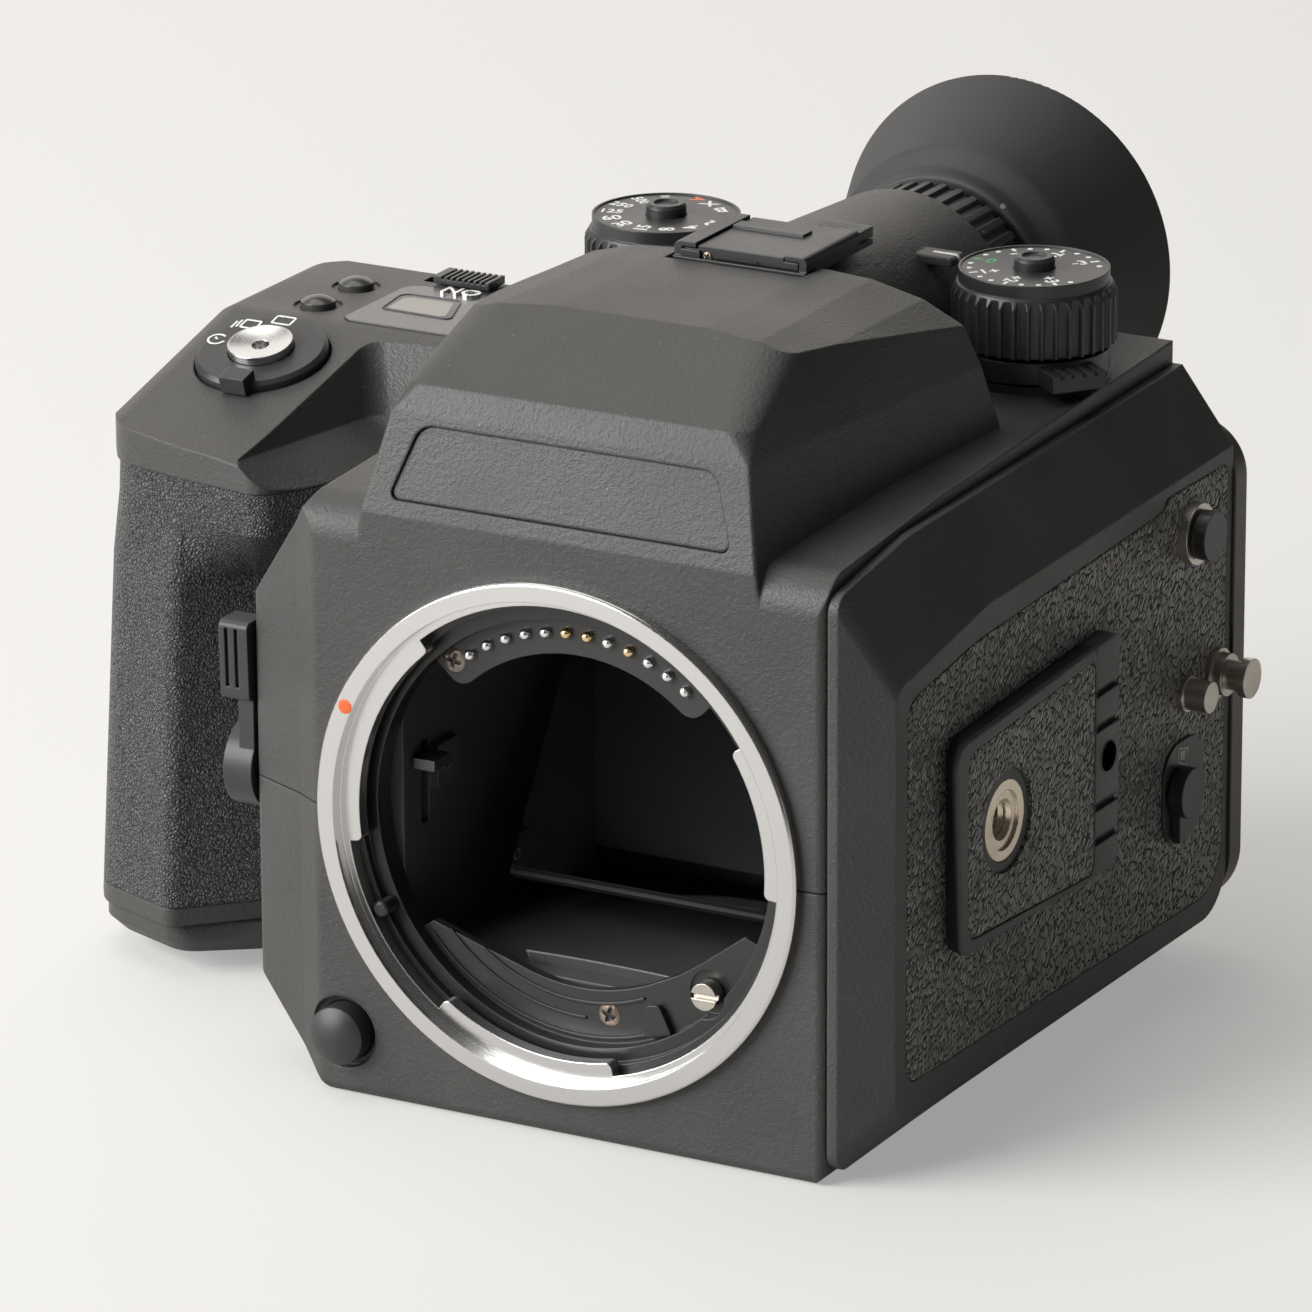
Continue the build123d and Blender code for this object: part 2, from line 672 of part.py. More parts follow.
def side_frame():
    """Bevelled frame between the body groove and the side panel."""
    root = outline(
        [(2.2, -42.0), (body_back, -40.8), (body_back, 47.3), (24.0, 45.8), (2.2, 42.6)],
        [3.0, 9.0, 0.0, 20.0, 3.0])
    length = hypot(side_back_x - side_front_x, body_back - side_front_y)
    panel = outline(
        [(-3.0, -35.6), (length, -35.6), (length, 36.1), (24.4, 33.9), (-3.0, 28.9)],
        [5.0, 8.0, 0.0, 20.0, 2.5])
    frame = loft([Plane.YZ.offset(frame_x) * root, side_plane(0.0) * panel], ruled=True)
    frame += side_block(root, groove_x + 0.1, frame_x)
    frame &= box((40, 60), (0, body_back), (-60, 60))
    frame -= on_side(leather_face(0.1), -0.6, 3.0)
    frame -= on_side(Pos(post_run, post_z) * Circle(3.9), -0.6, 3.0)
    frame -= on_side(Pos(sync_run, sync_z) * Circle(4.7), -0.6, 3.0)
    return frame - on_side(Pos(socket_run, socket_z) * Circle(6.0), -6.2, 3.0)


def leather_face(grow):
    """Side leather outline: long panel with a small step in its rising top edge."""
    return outline(
        [(0.2 - grow, -29.9 - grow), (99.6 + grow, -31.9 - grow), (99.6 + grow, 33.8 + grow),
         (80.0, 33.8 + grow), (78.6, 32.2 + grow), (20.0, 29.4 + grow), (0.2 - grow, 26.3 + grow)],
        [3.0, 7.5, 1.5, 1.0, 0.5, 12.0, 3.0])


def lug_plate_face(grow):
    return outline(
        [(10.4 - grow, -13.4 - grow), (63.0 + grow, -17.6 - grow), (63.0 + grow, 19.2 + grow),
         (10.4 - grow, 18.2 + grow)],
        [2.0, 2.0, 2.0, 2.0])


def lug_leather_face(grow):
    return outline(
        [(13.0 - grow, -10.6 - grow), (54.0 + grow, -13.8 - grow), (54.0 + grow, 16.4 + grow),
         (13.0 - grow, 15.6 + grow)],
        [1.5, 1.5, 1.5, 1.5])


def switch_plate_face(grow):
    return Pos(switch_run + 2.0, switch_z - 0.5) * RectangleRounded(13.1 + 2 * grow, 15.6 + 2 * grow, 5.0)


def side_leather():
    leather = on_side(leather_face(0.0), -0.55, 0.15)
    leather -= on_side(lug_plate_face(0.1), -1.0, 4.0)
    leather -= on_side(switch_plate_face(0.1), -1.0, 1.0)
    for run, height, radius in ((sync_run, sync_z, 4.8), (stud_run, stud_z, 2.9), (post_run, post_z, 4.0)):
        leather -= on_side(Pos(run, height) * Circle(radius), -1.0, 1.0)
    return leather


def tripod_lug_plate():
    """Raised side plate with a ribbed slope at its back and the socket well."""
    profile = outline([(8.0, -0.55), (66.0, -0.55), (66.0, 0.2), (63.0, 0.5), (56.5, 2.7), (8.0, 3.0)])
    plate = on_side(lug_plate_face(0.0), -0.55, 4.0) & along_side(profile, -25.0, 25.0)
    plate -= on_side(lug_leather_face(0.1), 2.35, 4.0)
    plate -= on_side(Pos(socket_run, socket_z) * Circle(7.5), 1.4, 4.0)
    plate -= on_side(Pos(socket_run, socket_z) * Circle(6.0), -0.7, 4.0)
    plate -= on_side(Pos(60.2, 0.6) * Circle(2.2), -0.7, 4.0)
    for groove in range(7):
        if groove != 3:
            plate -= on_side(Pos(60.2, -12.4 + 4.4 * groove) * Rectangle(3.2, 1.6), 0.4, 6.0)
    return plate


def tripod_lug_leather():
    leather = on_side(lug_leather_face(0.0), 2.4, 3.0)
    return leather - on_side(Pos(socket_run, socket_z) * Circle(7.6), 2.0, 4.0)


def side_socket():
    """Bright bush with the side tripod thread."""
    bush = on_side(Pos(socket_run, socket_z) * Circle(5.9), -5.9, 2.5)
    bush -= on_side(Pos(socket_run, socket_z) * Circle(4.4), 2.1, 3.0)
    return bush - on_side(Pos(socket_run, socket_z) * Circle(3.0), -5.4, 3.0)


def sync_socket():
    barrel = on_side(Pos(sync_run, sync_z) * Circle(4.6), -0.55, 1.6)
    return barrel - on_side(Pos(sync_run, sync_z) * Circle(3.25), 0.3, 3.0)


def sync_cap():
    plug = on_side(Pos(sync_run, sync_z) * Circle(3.2), 0.6, 2.0)
    return plug + on_side(Pos(sync_run, sync_z) * Circle(3.7), 1.9, 4.0)


def strap_lugs():
    """Two turned posts: a plain stud in front and a headed one behind."""
    stud = on_side(Pos(stud_run, stud_z) * Circle(2.7), -0.55, 0.9)
    stud += on_side(Pos(stud_run, stud_z) * Circle(2.35), 0.8, 4.4)
    post = on_side(Pos(post_run, post_z) * Circle(3.8), -0.55, 1.0)
    post += on_side(Pos(post_run, post_z) * Circle(3.2), 0.9, 2.5)
    post += on_side(Pos(post_run, post_z) * Circle(2.2), 2.4, 5.0)
    post += on_side(Pos(post_run, post_z) * Circle(3.0), 4.9, 6.2)
    return Compound(children=[stud, post])


def multi_exposure_plate():
    hole = Pos(switch_run, switch_z) * Circle(2.0 + running_gap)
    return on_side(switch_plate_face(0.0), -0.55, 0.6) - on_side(hole, -1.0, 1.0)


def multi_exposure_switch():
    """Smooth round knob with a pointer at its foot."""
    knob = on_side(Pos(switch_run, switch_z) * Circle(3.8), 0.9, 3.2)
    knob += on_side(Pos(switch_run, switch_z) * Circle(2.0), -0.4, 1.0)
    return knob + on_side(Pos(switch_run - 1.0, switch_z - 4.4) * Rectangle(2.6, 5.8), 0.9, 2.2)


# Grip

def slope_z(depth):
    """Height of the grip's top, which rises to the back up to its flat part."""
    rise = (grip_top_z - slope_front_z) / (slope_back_y - slope_front_y)
    return min(grip_top_z, slope_front_z + rise * (depth - slope_front_y))


def ring_plane():
    """Plane on the grip's sloping top at the drive ring, local Z standing out of it."""
    tilt = atan2(grip_top_z - slope_front_z, slope_back_y - slope_front_y)
    return Plane(origin=(ring_x, ring_y, slope_z(ring_y)), x_dir=(1, 0, 0), z_dir=(0, -sin(tilt), cos(tilt)))


def on_ring(face, low, high):
    """Solid along the drive ring's axis between two heights."""
    return extrude(ring_plane().offset(low) * face, high - low)


def grip_left(height):
    """The grip's left face leans out downward."""
    return grip_left_x - grip_lean * (grip_seam_z - height)


def grip_full_face(height):
    """Plan outline of the grip above the fingers."""
    left = grip_left(height)
    return Plane.XY.offset(height) * outline(
        [(left, 43.0), (-92.0, 35.0), (-80.0, 32.4), (-65.3, 29.7), (-58.0, 41.0), (-53.6, 56.0),
         (-53.6, 100.0), (-88.0, 100.0), (left, 92.0)],
        [8.0, 8.0, 6.0, 4.0, 8.0, 0.0, 0.0, 8.0, 8.0])


def grip_held_face(height, inset=0.0):
    """Plan outline where the fingers wrap round the grip's front ridge."""
    left = grip_left(height) + inset
    ridge = -80.7 + 0.0444 * height
    return Plane.XY.offset(height) * outline(
        [(left, 42.0 + inset), (left + 4.6, 35.0 + inset), (ridge, 29.5 + inset), (-72.0, 39.6 + inset),
         (-62.0, 48.0 + inset), (-53.6, 54.5), (-53.6, 100.0), (-88.0, 100.0), (left, 92.0)],
        [8.0, 8.0, 2.5, 4.0, 8.0, 0.0, 0.0, 8.0, 8.0])


def grip_shell():
    """Grip with its finger hollow and the battery pocket, open to the left."""
    shell = loft([grip_held_face(grip_base_z), grip_held_face(18.0)], ruled=True)
    shell += loft([grip_held_face(18.0), grip_full_face(27.0)], ruled=True)
    shell += loft([grip_full_face(27.0), grip_full_face(grip_seam_z - 0.1)], ruled=True)
    shell += box((-54.0, -45.0), (62.0, 100.0), (20.0, grip_seam_z - 0.1)) - body_block()
    return shell - box((-110.0, pocket_x), pocket_y, (-pocket_half, pocket_half))


def grip_foot_face(height, inset):
    """Plan outline of the base cap's foot, less hollowed for the fingers."""
    return Plane.XY.offset(height) * outline(
        [(-101.0 + inset, 43.0), (-96.4 + inset, 35.6 + inset), (-81.5, 30.6 + inset), (-71.0 - inset, 38.4),
         (-61.4 - inset, 46.0), (-53.6, 53.5), (-53.6, 100.0 - inset), (-88.0, 100.0 - inset),
         (-101.0 + inset, 92.0)],
        [8.0, 8.0, 5.0, 4.0, 8.0, 0.0, 0.0, 8.0, 8.0])


def grip_base():
    """Base cap in two steps with a bevelled lower edge."""
    rim = loft([grip_held_face(grip_rim_z + 0.1), grip_held_face(grip_base_z - 0.1)], ruled=True)
    knee_z = grip_bottom_z + 2.0
    foot = loft([grip_foot_face(grip_bottom_z, 1.6), grip_foot_face(knee_z, 0.0)], ruled=True)
    foot += loft([grip_foot_face(knee_z, 0.0), grip_held_face(grip_rim_z + 0.1, 0.9)], ruled=True)
    return foot + rim


def grip_cap_block():
    """Grip's top: plan outline, rising profile and a rounded left edge intersected."""
    plan = outline(
        [(cap_left_x, 43.0), (-92.4, 35.0), (-80.0, 32.0), (-65.3, 29.7), (-58.0, 41.0), (-55.0, 53.0),
         (-51.0, 66.5), (-33.0, 68.5), (-33.0, 101.0), (-88.0, 101.0), (cap_left_x, 92.0)],
        [8.0, 8.0, 6.0, 4.0, 8.0, 5.0, 6.0, 0.0, 0.0, 8.0, 8.0])
    profile = outline(
        [(28.0, grip_seam_z), (30.4, 38.0), (44.0, slope_z(44.0)), (slope_back_y, grip_top_z),
         (99.0, grip_top_z), (101.0, 45.0), (101.0, grip_seam_z)],
        [0.0, 4.0, 12.0, 8.0, 1.0, 2.0, 0.0])

    def section(depth, top):
        face = outline([(cap_left_x, 20.0), (cap_left_x + 0.9, top), (-30.0, top), (-30.0, 20.0)],
                       [0.0, 4.5, 0.0, 0.0])
        return Plane.XZ.offset(-depth) * face

    rise = (grip_top_z - slope_front_z) / (slope_back_y - slope_front_y)
    front_top = slope_front_z - rise * (slope_front_y - 26.0)
    rounded = loft([section(26.0, front_top), section(slope_back_y, grip_top_z)], ruled=True)
    rounded += loft([section(slope_back_y, grip_top_z), section(103.0, grip_top_z)], ruled=True)
    return plan_block(plan, grip_seam_z, 50.0) & side_block(profile, -100.0, -30.0) & rounded


def cap_valley():
    """Hollow in the cap that falls from the drive ring to the seam over the fingers."""
    def level(height, front, middle, corner):
        points = [(front, 26.0), middle, corner, (-50.0, corner[1] + 1.6), (-50.0, 26.0)]
        return Plane.XY.offset(height) * outline(points, [0.0, 8.0, 3.5, 0.0, 0.0])

    return loft(
        [level(grip_seam_z - 0.1, -65.5, (-58.6, 41.0), (-54.0, 57.0)),
         level(38.0, -70.5, (-66.5, 45.0), (-63.5, 60.5)),
         level(48.5, -73.5, (-71.8, 48.0), (-68.5, 67.2))],
        ruled=True)


def display_face(grow):
    return outline(
        [(-75.4 - grow, 70.8 - grow), (-50.0 + grow, 70.8 - grow), (-50.0 + grow, 91.5 + grow),
         (-75.4 - grow, 91.5 + grow)],
        [2.0, 1.0, 1.0, 3.0])


def grip_top():
    """Cap over the grip with the seats of its controls."""
    cap = grip_cap_block() - cap_valley() - body_block() - hood_block() - dial_collar(-1)
    cap -= on_ring(Circle(ring_radius + free_gap), -2.6, 6.0)
    cap -= on_ring(Circle(button_radius + 0.4), -6.0, 6.0)
    cap -= plan_block(display_face(0.1), grip_top_z - 0.5, 50.0)
    cap -= box((-74.8, -63.2), (94.4, 97.1), (grip_top_z - 1.6, 50.0))
    for depth in (87.2, 76.0):
        cap -= rod_z(setting_x, depth, 2.65 + running_gap, 45.0, 50.0)
        cap -= rod_z(setting_x, depth, 3.7, grip_top_z - 0.3, 50.0)
    return cap


def display_panel():
    return plan_block(display_face(0.0), grip_top_z - 0.45, grip_top_z + 0.25)


def drive_ring():
    """Flat selector ring with its finger tab at the front."""
    ring = on_ring(Circle(ring_radius), -2.3, 0.9)
    ring += extrude(ring_plane().offset(0.9) * Circle(ring_radius), 0.6, taper=45)
    ring += on_ring(Pos(1.5, -(ring_radius - 0.4)) * Rectangle(4.2, 3.2), 0.35, 3.0)
    return ring - on_ring(Circle(button_radius + sliding_gap), -3.0, 4.0)


def shutter_button():
    """Bright button with a dished top and the cable release hole."""
    button = on_ring(Circle(button_radius), -2.4, 2.8)
    dish = Pos(*(ring_plane().offset(22.2)).origin) * Sphere(20.0)
    return button - dish - on_ring(Circle(1.3), 0.0, 5.0)


def setting_button(depth):
    """Small domed button."""
    dome = Pos(setting_x, depth, 45.5) * Sphere(4.3)
    return rod_z(setting_x, depth, 2.65, 46.2, 50.0) & dome


def power_slider():
    """Ribbed slider on its foot in the slot."""
    foot = box((-71.5, -63.5), (94.55, 96.95), (grip_top_z - 1.4, grip_top_z + 0.4))
    slider = box((-72.4, -62.8), (93.3, 98.2), (grip_top_z + 0.3, grip_top_z + 1.5))
    for rib in range(8):
        slider -= box((-71.0 + rib, -70.5 + rib), (93.0, 98.4), (grip_top_z + 1.1, grip_top_z + 2.0))
    return foot + slider


def battery_holder():
    """Cartridge with four open troughs for cells, behind its cover in the grip's left face."""
    front = pocket_y[0] + sliding_gap
    back = pocket_y[1] - sliding_gap
    half = pocket_half - sliding_gap
    inner = pocket_x - sliding_gap
    flush = outline(
        [(grip_left(-half) + 0.02, -half), (inner, -half), (inner, half), (grip_left(half) + 0.02, half)])
    holder = front_block(flush, front, back)
    for x in (-87.8, -72.3):
        width = (x - cell_radius, x + cell_radius)
        for center, depths in ((front + cell_radius, (front - 1.0, front + cell_radius)),
                               (back - cell_radius, (back - cell_radius, back + 1.0))):
            holder -= rod_z(x, center, cell_radius, -cell_half, cell_half)
            holder -= box(width, depths, (-cell_half, cell_half))
    return holder - rod_x(battery_key_y, battery_key_z, 6.0, -110.0, key_floor_x)


def battery_key():
    """Slotted lock disc in the battery cover."""
    disc = rod_x(battery_key_y, battery_key_z, 5.95, key_floor_x - 1.1, key_floor_x)
    slot = box((key_floor_x - 2.0, key_floor_x - 0.5), (battery_key_y - 4.3, battery_key_y + 4.3),
               (battery_key_z - 0.6, battery_key_z + 0.6))
    return disc - slot


# Front controls

def preview_lever():
    """Pivot drum with an upright ribbed finger arm."""
    lever = rod_x(lever_y, seam_z, 6.6, *lever_x)
    lever += rod_x(lever_y, seam_z, 3.0, lever_x[1] - 0.5, -48.0)
    lever += box((-56.3, lever_x[1]), (8.6, 13.0), (3.0, 12.0))
    arm = outline([(7.5, 10.4), (13.0, 11.0), (13.0, 22.4), (7.1, 22.4)], [1.0, 0.5, 1.0, 1.0])
    lever += side_block(arm, *lever_x)
    for rib in range(2):
        lever -= box((-57.6 + 1.6 * rib, -57.0 + 1.6 * rib), (6.8, 8.0), (12.5, 21.4))
    return lever


def build_nodes():
    """Every node's solid by its name."""
    lower, upper = housings()
    nodes = {
        "lower_housing": lower,
        "upper_housing": upper,
        "nameplate": nameplate(),
        "finder_housing": finder_housing(),
        "base_socket": base_socket(),
        "mount_ring": mount_ring(),
        "throat_ring": throat_ring(),
        "contact_block": contact_block(),
        "silver_pins": contact_pins(silver_pins),
        "gold_pins": contact_pins(gold_pins),
        "af_coupler": af_coupler(),
        "lens_lock_pin": lens_lock_pin(),
        "release_button": release_button(),
        "mirror_box": mirror_box(),
        "mirror_frame": mirror_frame(),
        "reflex_mirror": reflex_mirror(),
        "aperture_lever": aperture_lever(),
        "focusing_screen": focusing_screen(),
        "finder_prism": finder_prism(),
        "eyepiece_lens": eyepiece_lens(),
        "shutter_frame": shutter_frame(),
        "film_insert": film_insert(),
        "supply_spool": film_spool(spool_low_z),
        "takeup_spool": film_spool(spool_high_z),
        "pressure_plate": pressure_plate(),
        "film_insert_key": film_insert_key(),
        "diopter_ring": diopter_ring(),
        "eyecup": eyecup(),
        "hot_shoe": hot_shoe(),
        "shoe_cover": shoe_cover(),
        "shutter_dial": dial(-1),
        "shutter_dial_lock": dial_lock(-1),
        "exposure_dial": dial(1),
        "exposure_dial_lock": dial_lock(1),
        "metering_lever": metering_lever(),
        "side_frame": side_frame(),
        "side_leather": side_leather(),
        "tripod_lug_plate": tripod_lug_plate(),
        "tripod_lug_leather": tripod_lug_leather(),
        "side_socket": side_socket(),
        "sync_socket": sync_socket(),
        "sync_cap": sync_cap(),
        "strap_lugs": strap_lugs(),
        "multi_exposure_plate": multi_exposure_plate(),
        "multi_exposure_switch": multi_exposure_switch(),
        "grip_shell": grip_shell(),
        "grip_base": grip_base(),
        "grip_top": grip_top(),
        "display_panel": display_panel(),
        "drive_ring": drive_ring(),
        "shutter_button": shutter_button(),
        "up_button": setting_button(87.2),
        "down_button": setting_button(76.0),
        "power_slider": power_slider(),
        "battery_holder": battery_holder(),
        "battery_key": battery_key(),
        "preview_lever": preview_lever(),
    }
    for number in range(blade_count):
        nodes[f"shutter_blade_{number + 1}"] = shutter_blade(number)
    return nodes


os.makedirs("parts", exist_ok=True)
for name, shape in build_nodes().items():
    export_step(shape, f"parts/{name}.step")
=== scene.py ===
import json
from math import cos, pi, radians, sin

import bmesh
import bpy
import numpy as np
from mathutils import Matrix, Vector


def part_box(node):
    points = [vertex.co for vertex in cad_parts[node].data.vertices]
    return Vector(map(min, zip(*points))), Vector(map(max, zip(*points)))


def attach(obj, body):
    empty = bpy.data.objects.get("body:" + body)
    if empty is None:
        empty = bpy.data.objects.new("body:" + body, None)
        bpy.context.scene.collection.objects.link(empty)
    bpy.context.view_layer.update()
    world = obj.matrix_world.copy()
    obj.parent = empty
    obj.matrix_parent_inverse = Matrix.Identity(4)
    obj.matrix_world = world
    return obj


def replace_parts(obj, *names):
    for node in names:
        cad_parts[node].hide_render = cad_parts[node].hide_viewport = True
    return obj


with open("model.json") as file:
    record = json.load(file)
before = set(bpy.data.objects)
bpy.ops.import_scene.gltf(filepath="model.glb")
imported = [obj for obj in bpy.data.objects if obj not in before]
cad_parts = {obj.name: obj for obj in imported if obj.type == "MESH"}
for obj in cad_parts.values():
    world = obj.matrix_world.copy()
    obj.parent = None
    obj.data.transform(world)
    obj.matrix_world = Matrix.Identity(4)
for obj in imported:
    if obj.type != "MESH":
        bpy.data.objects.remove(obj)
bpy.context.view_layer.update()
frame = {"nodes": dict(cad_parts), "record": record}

nodes = frame["nodes"]
mm = 0.001
rootBody = "camera_body"
print("stage: frame loaded with", len(nodes), "nodes")

# the body that each CAD node belongs to
bodies = frame["record"]["behaviour"]["bodies"]
bodyOf = {member: bodyName for bodyName, members in bodies.items() for member in members}


# Mesh tools; shapes and places are given in millimetres, and meshes come out in metres

mergeDistance = 0.0005 * mm
fontShare = 1.38  # font size over the height of its capitals
boldShare = 0.03  # how far the strokes grow, as a share of that height


def gridFaces(rows, columns, closed=False):
    # quads between neighbouring rows and columns; a closed grid joins its last column to its first
    last = columns if closed else columns - 1
    row, column = np.meshgrid(np.arange(rows - 1), np.arange(last), indexing="ij")
    following = (column + 1) % columns
    corners = [row * columns + column, row * columns + following,
               (row + 1) * columns + following, (row + 1) * columns + column]
    return np.stack(corners, axis=-1).reshape(-1, 4)


def frameAt(origin, normal, up):
    # matrix whose Z is the normal and whose Y is the given up direction made square to it
    z = Vector(normal).normalized()
    x = Vector(up).cross(z).normalized()
    y = z.cross(x)
    matrix = Matrix((x, y, z)).transposed().to_4x4()
    matrix.translation = [value * mm for value in origin]
    return matrix


def facingFront(depth, x=0.0, z=0.0, up=(0, 0, 1)):
    # place on an upright plane that looks to the front
    return frameAt((x, depth, z), (0, -1, 0), up)


def shifted(place, *step):
    # a place moved along its own axes
    return place @ Matrix.Translation([value * mm for value in step])


def moved(points, place):
    # each point in metres times the matrix's turn, plus its origin
    turn = np.array(place.to_3x3())
    return points * mm @ turn.T + np.array(place.translation)


def makePiece(name, shape, place, finish, body=rootBody, sharp=35.0):
    # a shape, which is points and quads, becomes a mesh at the place
    points, faces = shape
    mesh = bpy.data.meshes.new(name)
    mesh.vertices.add(len(points))
    mesh.vertices.foreach_set("co", moved(points, place).astype(np.float32).ravel())
    mesh.loops.add(faces.size)
    mesh.loops.foreach_set("vertex_index", faces.ravel().astype(np.int32))
    mesh.polygons.add(len(faces))
    mesh.polygons.foreach_set("loop_start", np.arange(0, faces.size, faces.shape[1], dtype=np.int32))
    mesh.update(calc_edges=True)
    return placePiece(name, mesh, finish, body, sharp)


def placePiece(name, mesh, finish, body, sharp):
    # doubles are merged, faces turned outwards, and edges past the sharp angle stay sharp
    work = bmesh.new()
    work.from_mesh(mesh)
    bmesh.ops.remove_doubles(work, verts=work.verts, dist=mergeDistance)
    bmesh.ops.dissolve_degenerate(work, dist=mergeDistance, edges=work.edges)
    bmesh.ops.recalc_face_normals(work, faces=work.faces)
    work.to_mesh(mesh)
    work.free()
    mesh.shade_smooth()
    mesh.set_sharp_from_angle(angle=radians(sharp))
    mesh.materials.clear()
    mesh.materials.append(finishes[finish])
    piece = bpy.data.objects.new(name, mesh)
    bpy.context.scene.collection.objects.link(piece)
    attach(piece, body)
    return piece


def joinShapes(name, meshes, finish, body=rootBody):
    # several small shapes of one paint become one piece
    joined = bmesh.new()
    for mesh in meshes:
        joined.from_mesh(mesh)
    whole = bpy.data.meshes.new(name)
    joined.to_mesh(whole)
    joined.free()
    return placePiece(name, whole, finish, body, 20.0)


def lathe(profile, turns=72):
    # each profile point (radius, height) goes round the Z axis: x = r cos t, y = r sin t, z = h
    profile = np.asarray(profile, float)
    angle = np.linspace(0, 2 * pi, turns, endpoint=False)
    radius = profile[:, :1]
    x = radius * np.cos(angle)
    y = radius * np.sin(angle)
    z = np.repeat(profile[:, 1:2], turns, axis=1)
    return np.stack([x, y, z], axis=-1).reshape(-1, 3), gridFaces(len(profile), turns, True)


def roundedPath(corners, radii, steps=8):
    # each corner becomes an arc whose centre lies on the corner's bisector, between the two touching points
    corners = np.asarray(corners, float)
    runs = []
    for index, radius in enumerate(radii):
        corner = corners[index]
        before = corners[index - 1] - corner
        after = corners[(index + 1) % len(corners)] - corner
        before /= np.linalg.norm(before)
        after /= np.linalg.norm(after)
        half = np.arccos(np.clip(before @ after, -1, 1)) / 2
        center = corner + (before + after) / np.linalg.norm(before + after) * radius / sin(half)
        start = corner + before * radius / np.tan(half) - center
        end = corner + after * radius / np.tan(half) - center
        first = np.arctan2(start[1], start[0])
        sweep = (np.arctan2(end[1], end[0]) - first + pi) % (2 * pi) - pi
        angle = first + sweep * np.linspace(0, 1, steps)
        runs.append(center + radius * np.stack([np.cos(angle), np.sin(angle)], axis=-1))
    return np.concatenate(runs)


def ribbon(path, profile, closed=True):
    # the profile (sideways, height) is carried along a flat path; sideways is the tangent turned a quarter
    if closed:
        tangent = np.roll(path, -1, axis=0) - np.roll(path, 1, axis=0)
    else:
        tangent = np.gradient(path, axis=0)
    tangent /= np.linalg.norm(tangent, axis=1)[:, None]
    side = np.stack([tangent[:, 1], -tangent[:, 0]], axis=-1)
    profile = np.asarray(profile, float)
    flat = path[None] + profile[:, :1, None] * side[None]
    height = np.repeat(profile[:, 1:2], len(path), axis=1)[..., None]
    points = np.concatenate([flat, height], axis=-1)
    if not closed:
        # each end shrinks to the profile's middle
        middle = np.repeat(points.mean(axis=0, keepdims=True), len(profile), axis=0)
        points = np.concatenate([middle[:, :1], points, middle[:, -1:]], axis=1)
    columns = points.shape[1]
    faces = gridFaces(len(profile) + 1, columns, closed) % (len(profile) * columns)
    return points.reshape(-1, 3), faces


def barProfile(half, low, high):
    # section of a flat line: its half width, and the heights of its foot and its top
    return [(-half, low), (half, low), (half, high), (-half, high)]


def strokeAlong(path, half, heights, place, closed=False):
    # raised line of the given half width along a flat path
    points, faces = ribbon(np.asarray(path, float), barProfile(half, *heights), closed)
    mesh = bpy.data.meshes.new("stroke")
    mesh.from_pydata(moved(points, place).tolist(), [], faces.tolist())
    return mesh


def arcPath(radius, first, last, steps):
    # points on a circle from one angle to another, in degrees
    angle = np.radians(np.linspace(first, last, steps))
    return radius * np.stack([np.cos(angle), np.sin(angle)], axis=-1)


def longPath(corners, radii, spacing):
    # rounded outline whose straight stretches are divided as well: points at even lengths join its own
    path = roundedPath(corners, radii)
    path = np.concatenate([path, path[:1]])
    length = np.concatenate([[0.0], np.cumsum(np.linalg.norm(np.diff(path, axis=0), axis=1))])
    stations = np.union1d(length, np.arange(0, length[-1], spacing))[:-1]
    return np.stack([np.interp(stations, length, path[:, axis]) for axis in (0, 1)], axis=-1)


def reachAt(outline, center, angle):
    # distance from the centre to the outline in each direction, read off the outline's own polar angles
    apart = outline - center
    around = np.arctan2(apart[:, 1], apart[:, 0])
    order = np.argsort(around)
    return np.interp(angle, around[order], np.hypot(apart[:, 0], apart[:, 1])[order], period=2 * pi)


def ringGrid(center, angle, rings):
    # rings about a centre: x = centre + reach cos t, y = centre + reach sin t, and z is the ring's height
    layers = []
    for reach, height in rings:
        x = center[0] + reach * np.cos(angle)
        y = center[1] + reach * np.sin(angle)
        z = height(x, y) if callable(height) else np.full_like(angle, height)
        layers.append(np.stack([x, y, z], axis=-1))
    return np.concatenate(layers), gridFaces(len(rings), len(angle), True)


def curveMesh(curve, place):
    # a curve or words become a mesh, and only then go to their place
    holder = bpy.data.objects.new(curve.name, curve)
    bpy.context.scene.collection.objects.link(holder)
    bpy.context.view_layer.update()
    mesh = bpy.data.meshes.new_from_object(holder.evaluated_get(bpy.context.evaluated_depsgraph_get()))
    bpy.data.objects.remove(holder)
    mesh.transform(place)
    return mesh


def flatShape(outline, place, depth):
    # a closed outline is filled and given a small thickness
    curve = bpy.data.curves.new("flatShape", "CURVE")
    curve.dimensions = "2D"
    curve.fill_mode = "BOTH"
    curve.extrude = depth * mm / 2
    spline = curve.splines.new("POLY")
    spline.points.add(len(outline) - 1)
    full = np.concatenate([outline * mm, np.zeros((len(outline), 1)), np.ones((len(outline), 1))], axis=1)
    spline.points.foreach_set("co", full.astype(np.float32).ravel())
    spline.use_cyclic_u = True
    return curveMesh(curve, place)


def signShape(words, height, place, depth):
    # words of the built-in plain font become a thin solid
    curve = bpy.data.curves.new("signShape", "FONT")
    curve.body = words
    curve.size = height * mm * fontShare
    curve.align_x = "CENTER"
    curve.align_y = "CENTER"
    curve.extrude = depth * mm / 2
    curve.offset = height * mm * boldShare
    curve.resolution_u = 3
    return curveMesh(curve, place)


# Material tools

def feed(tree, node, sockets):
    # each socket takes either a value or another node's output
    for key, value in sockets.items():
        if isinstance(value, bpy.types.NodeSocket):
            tree.links.new(value, node.inputs[key])
        else:
            node.inputs[key].default_value = value


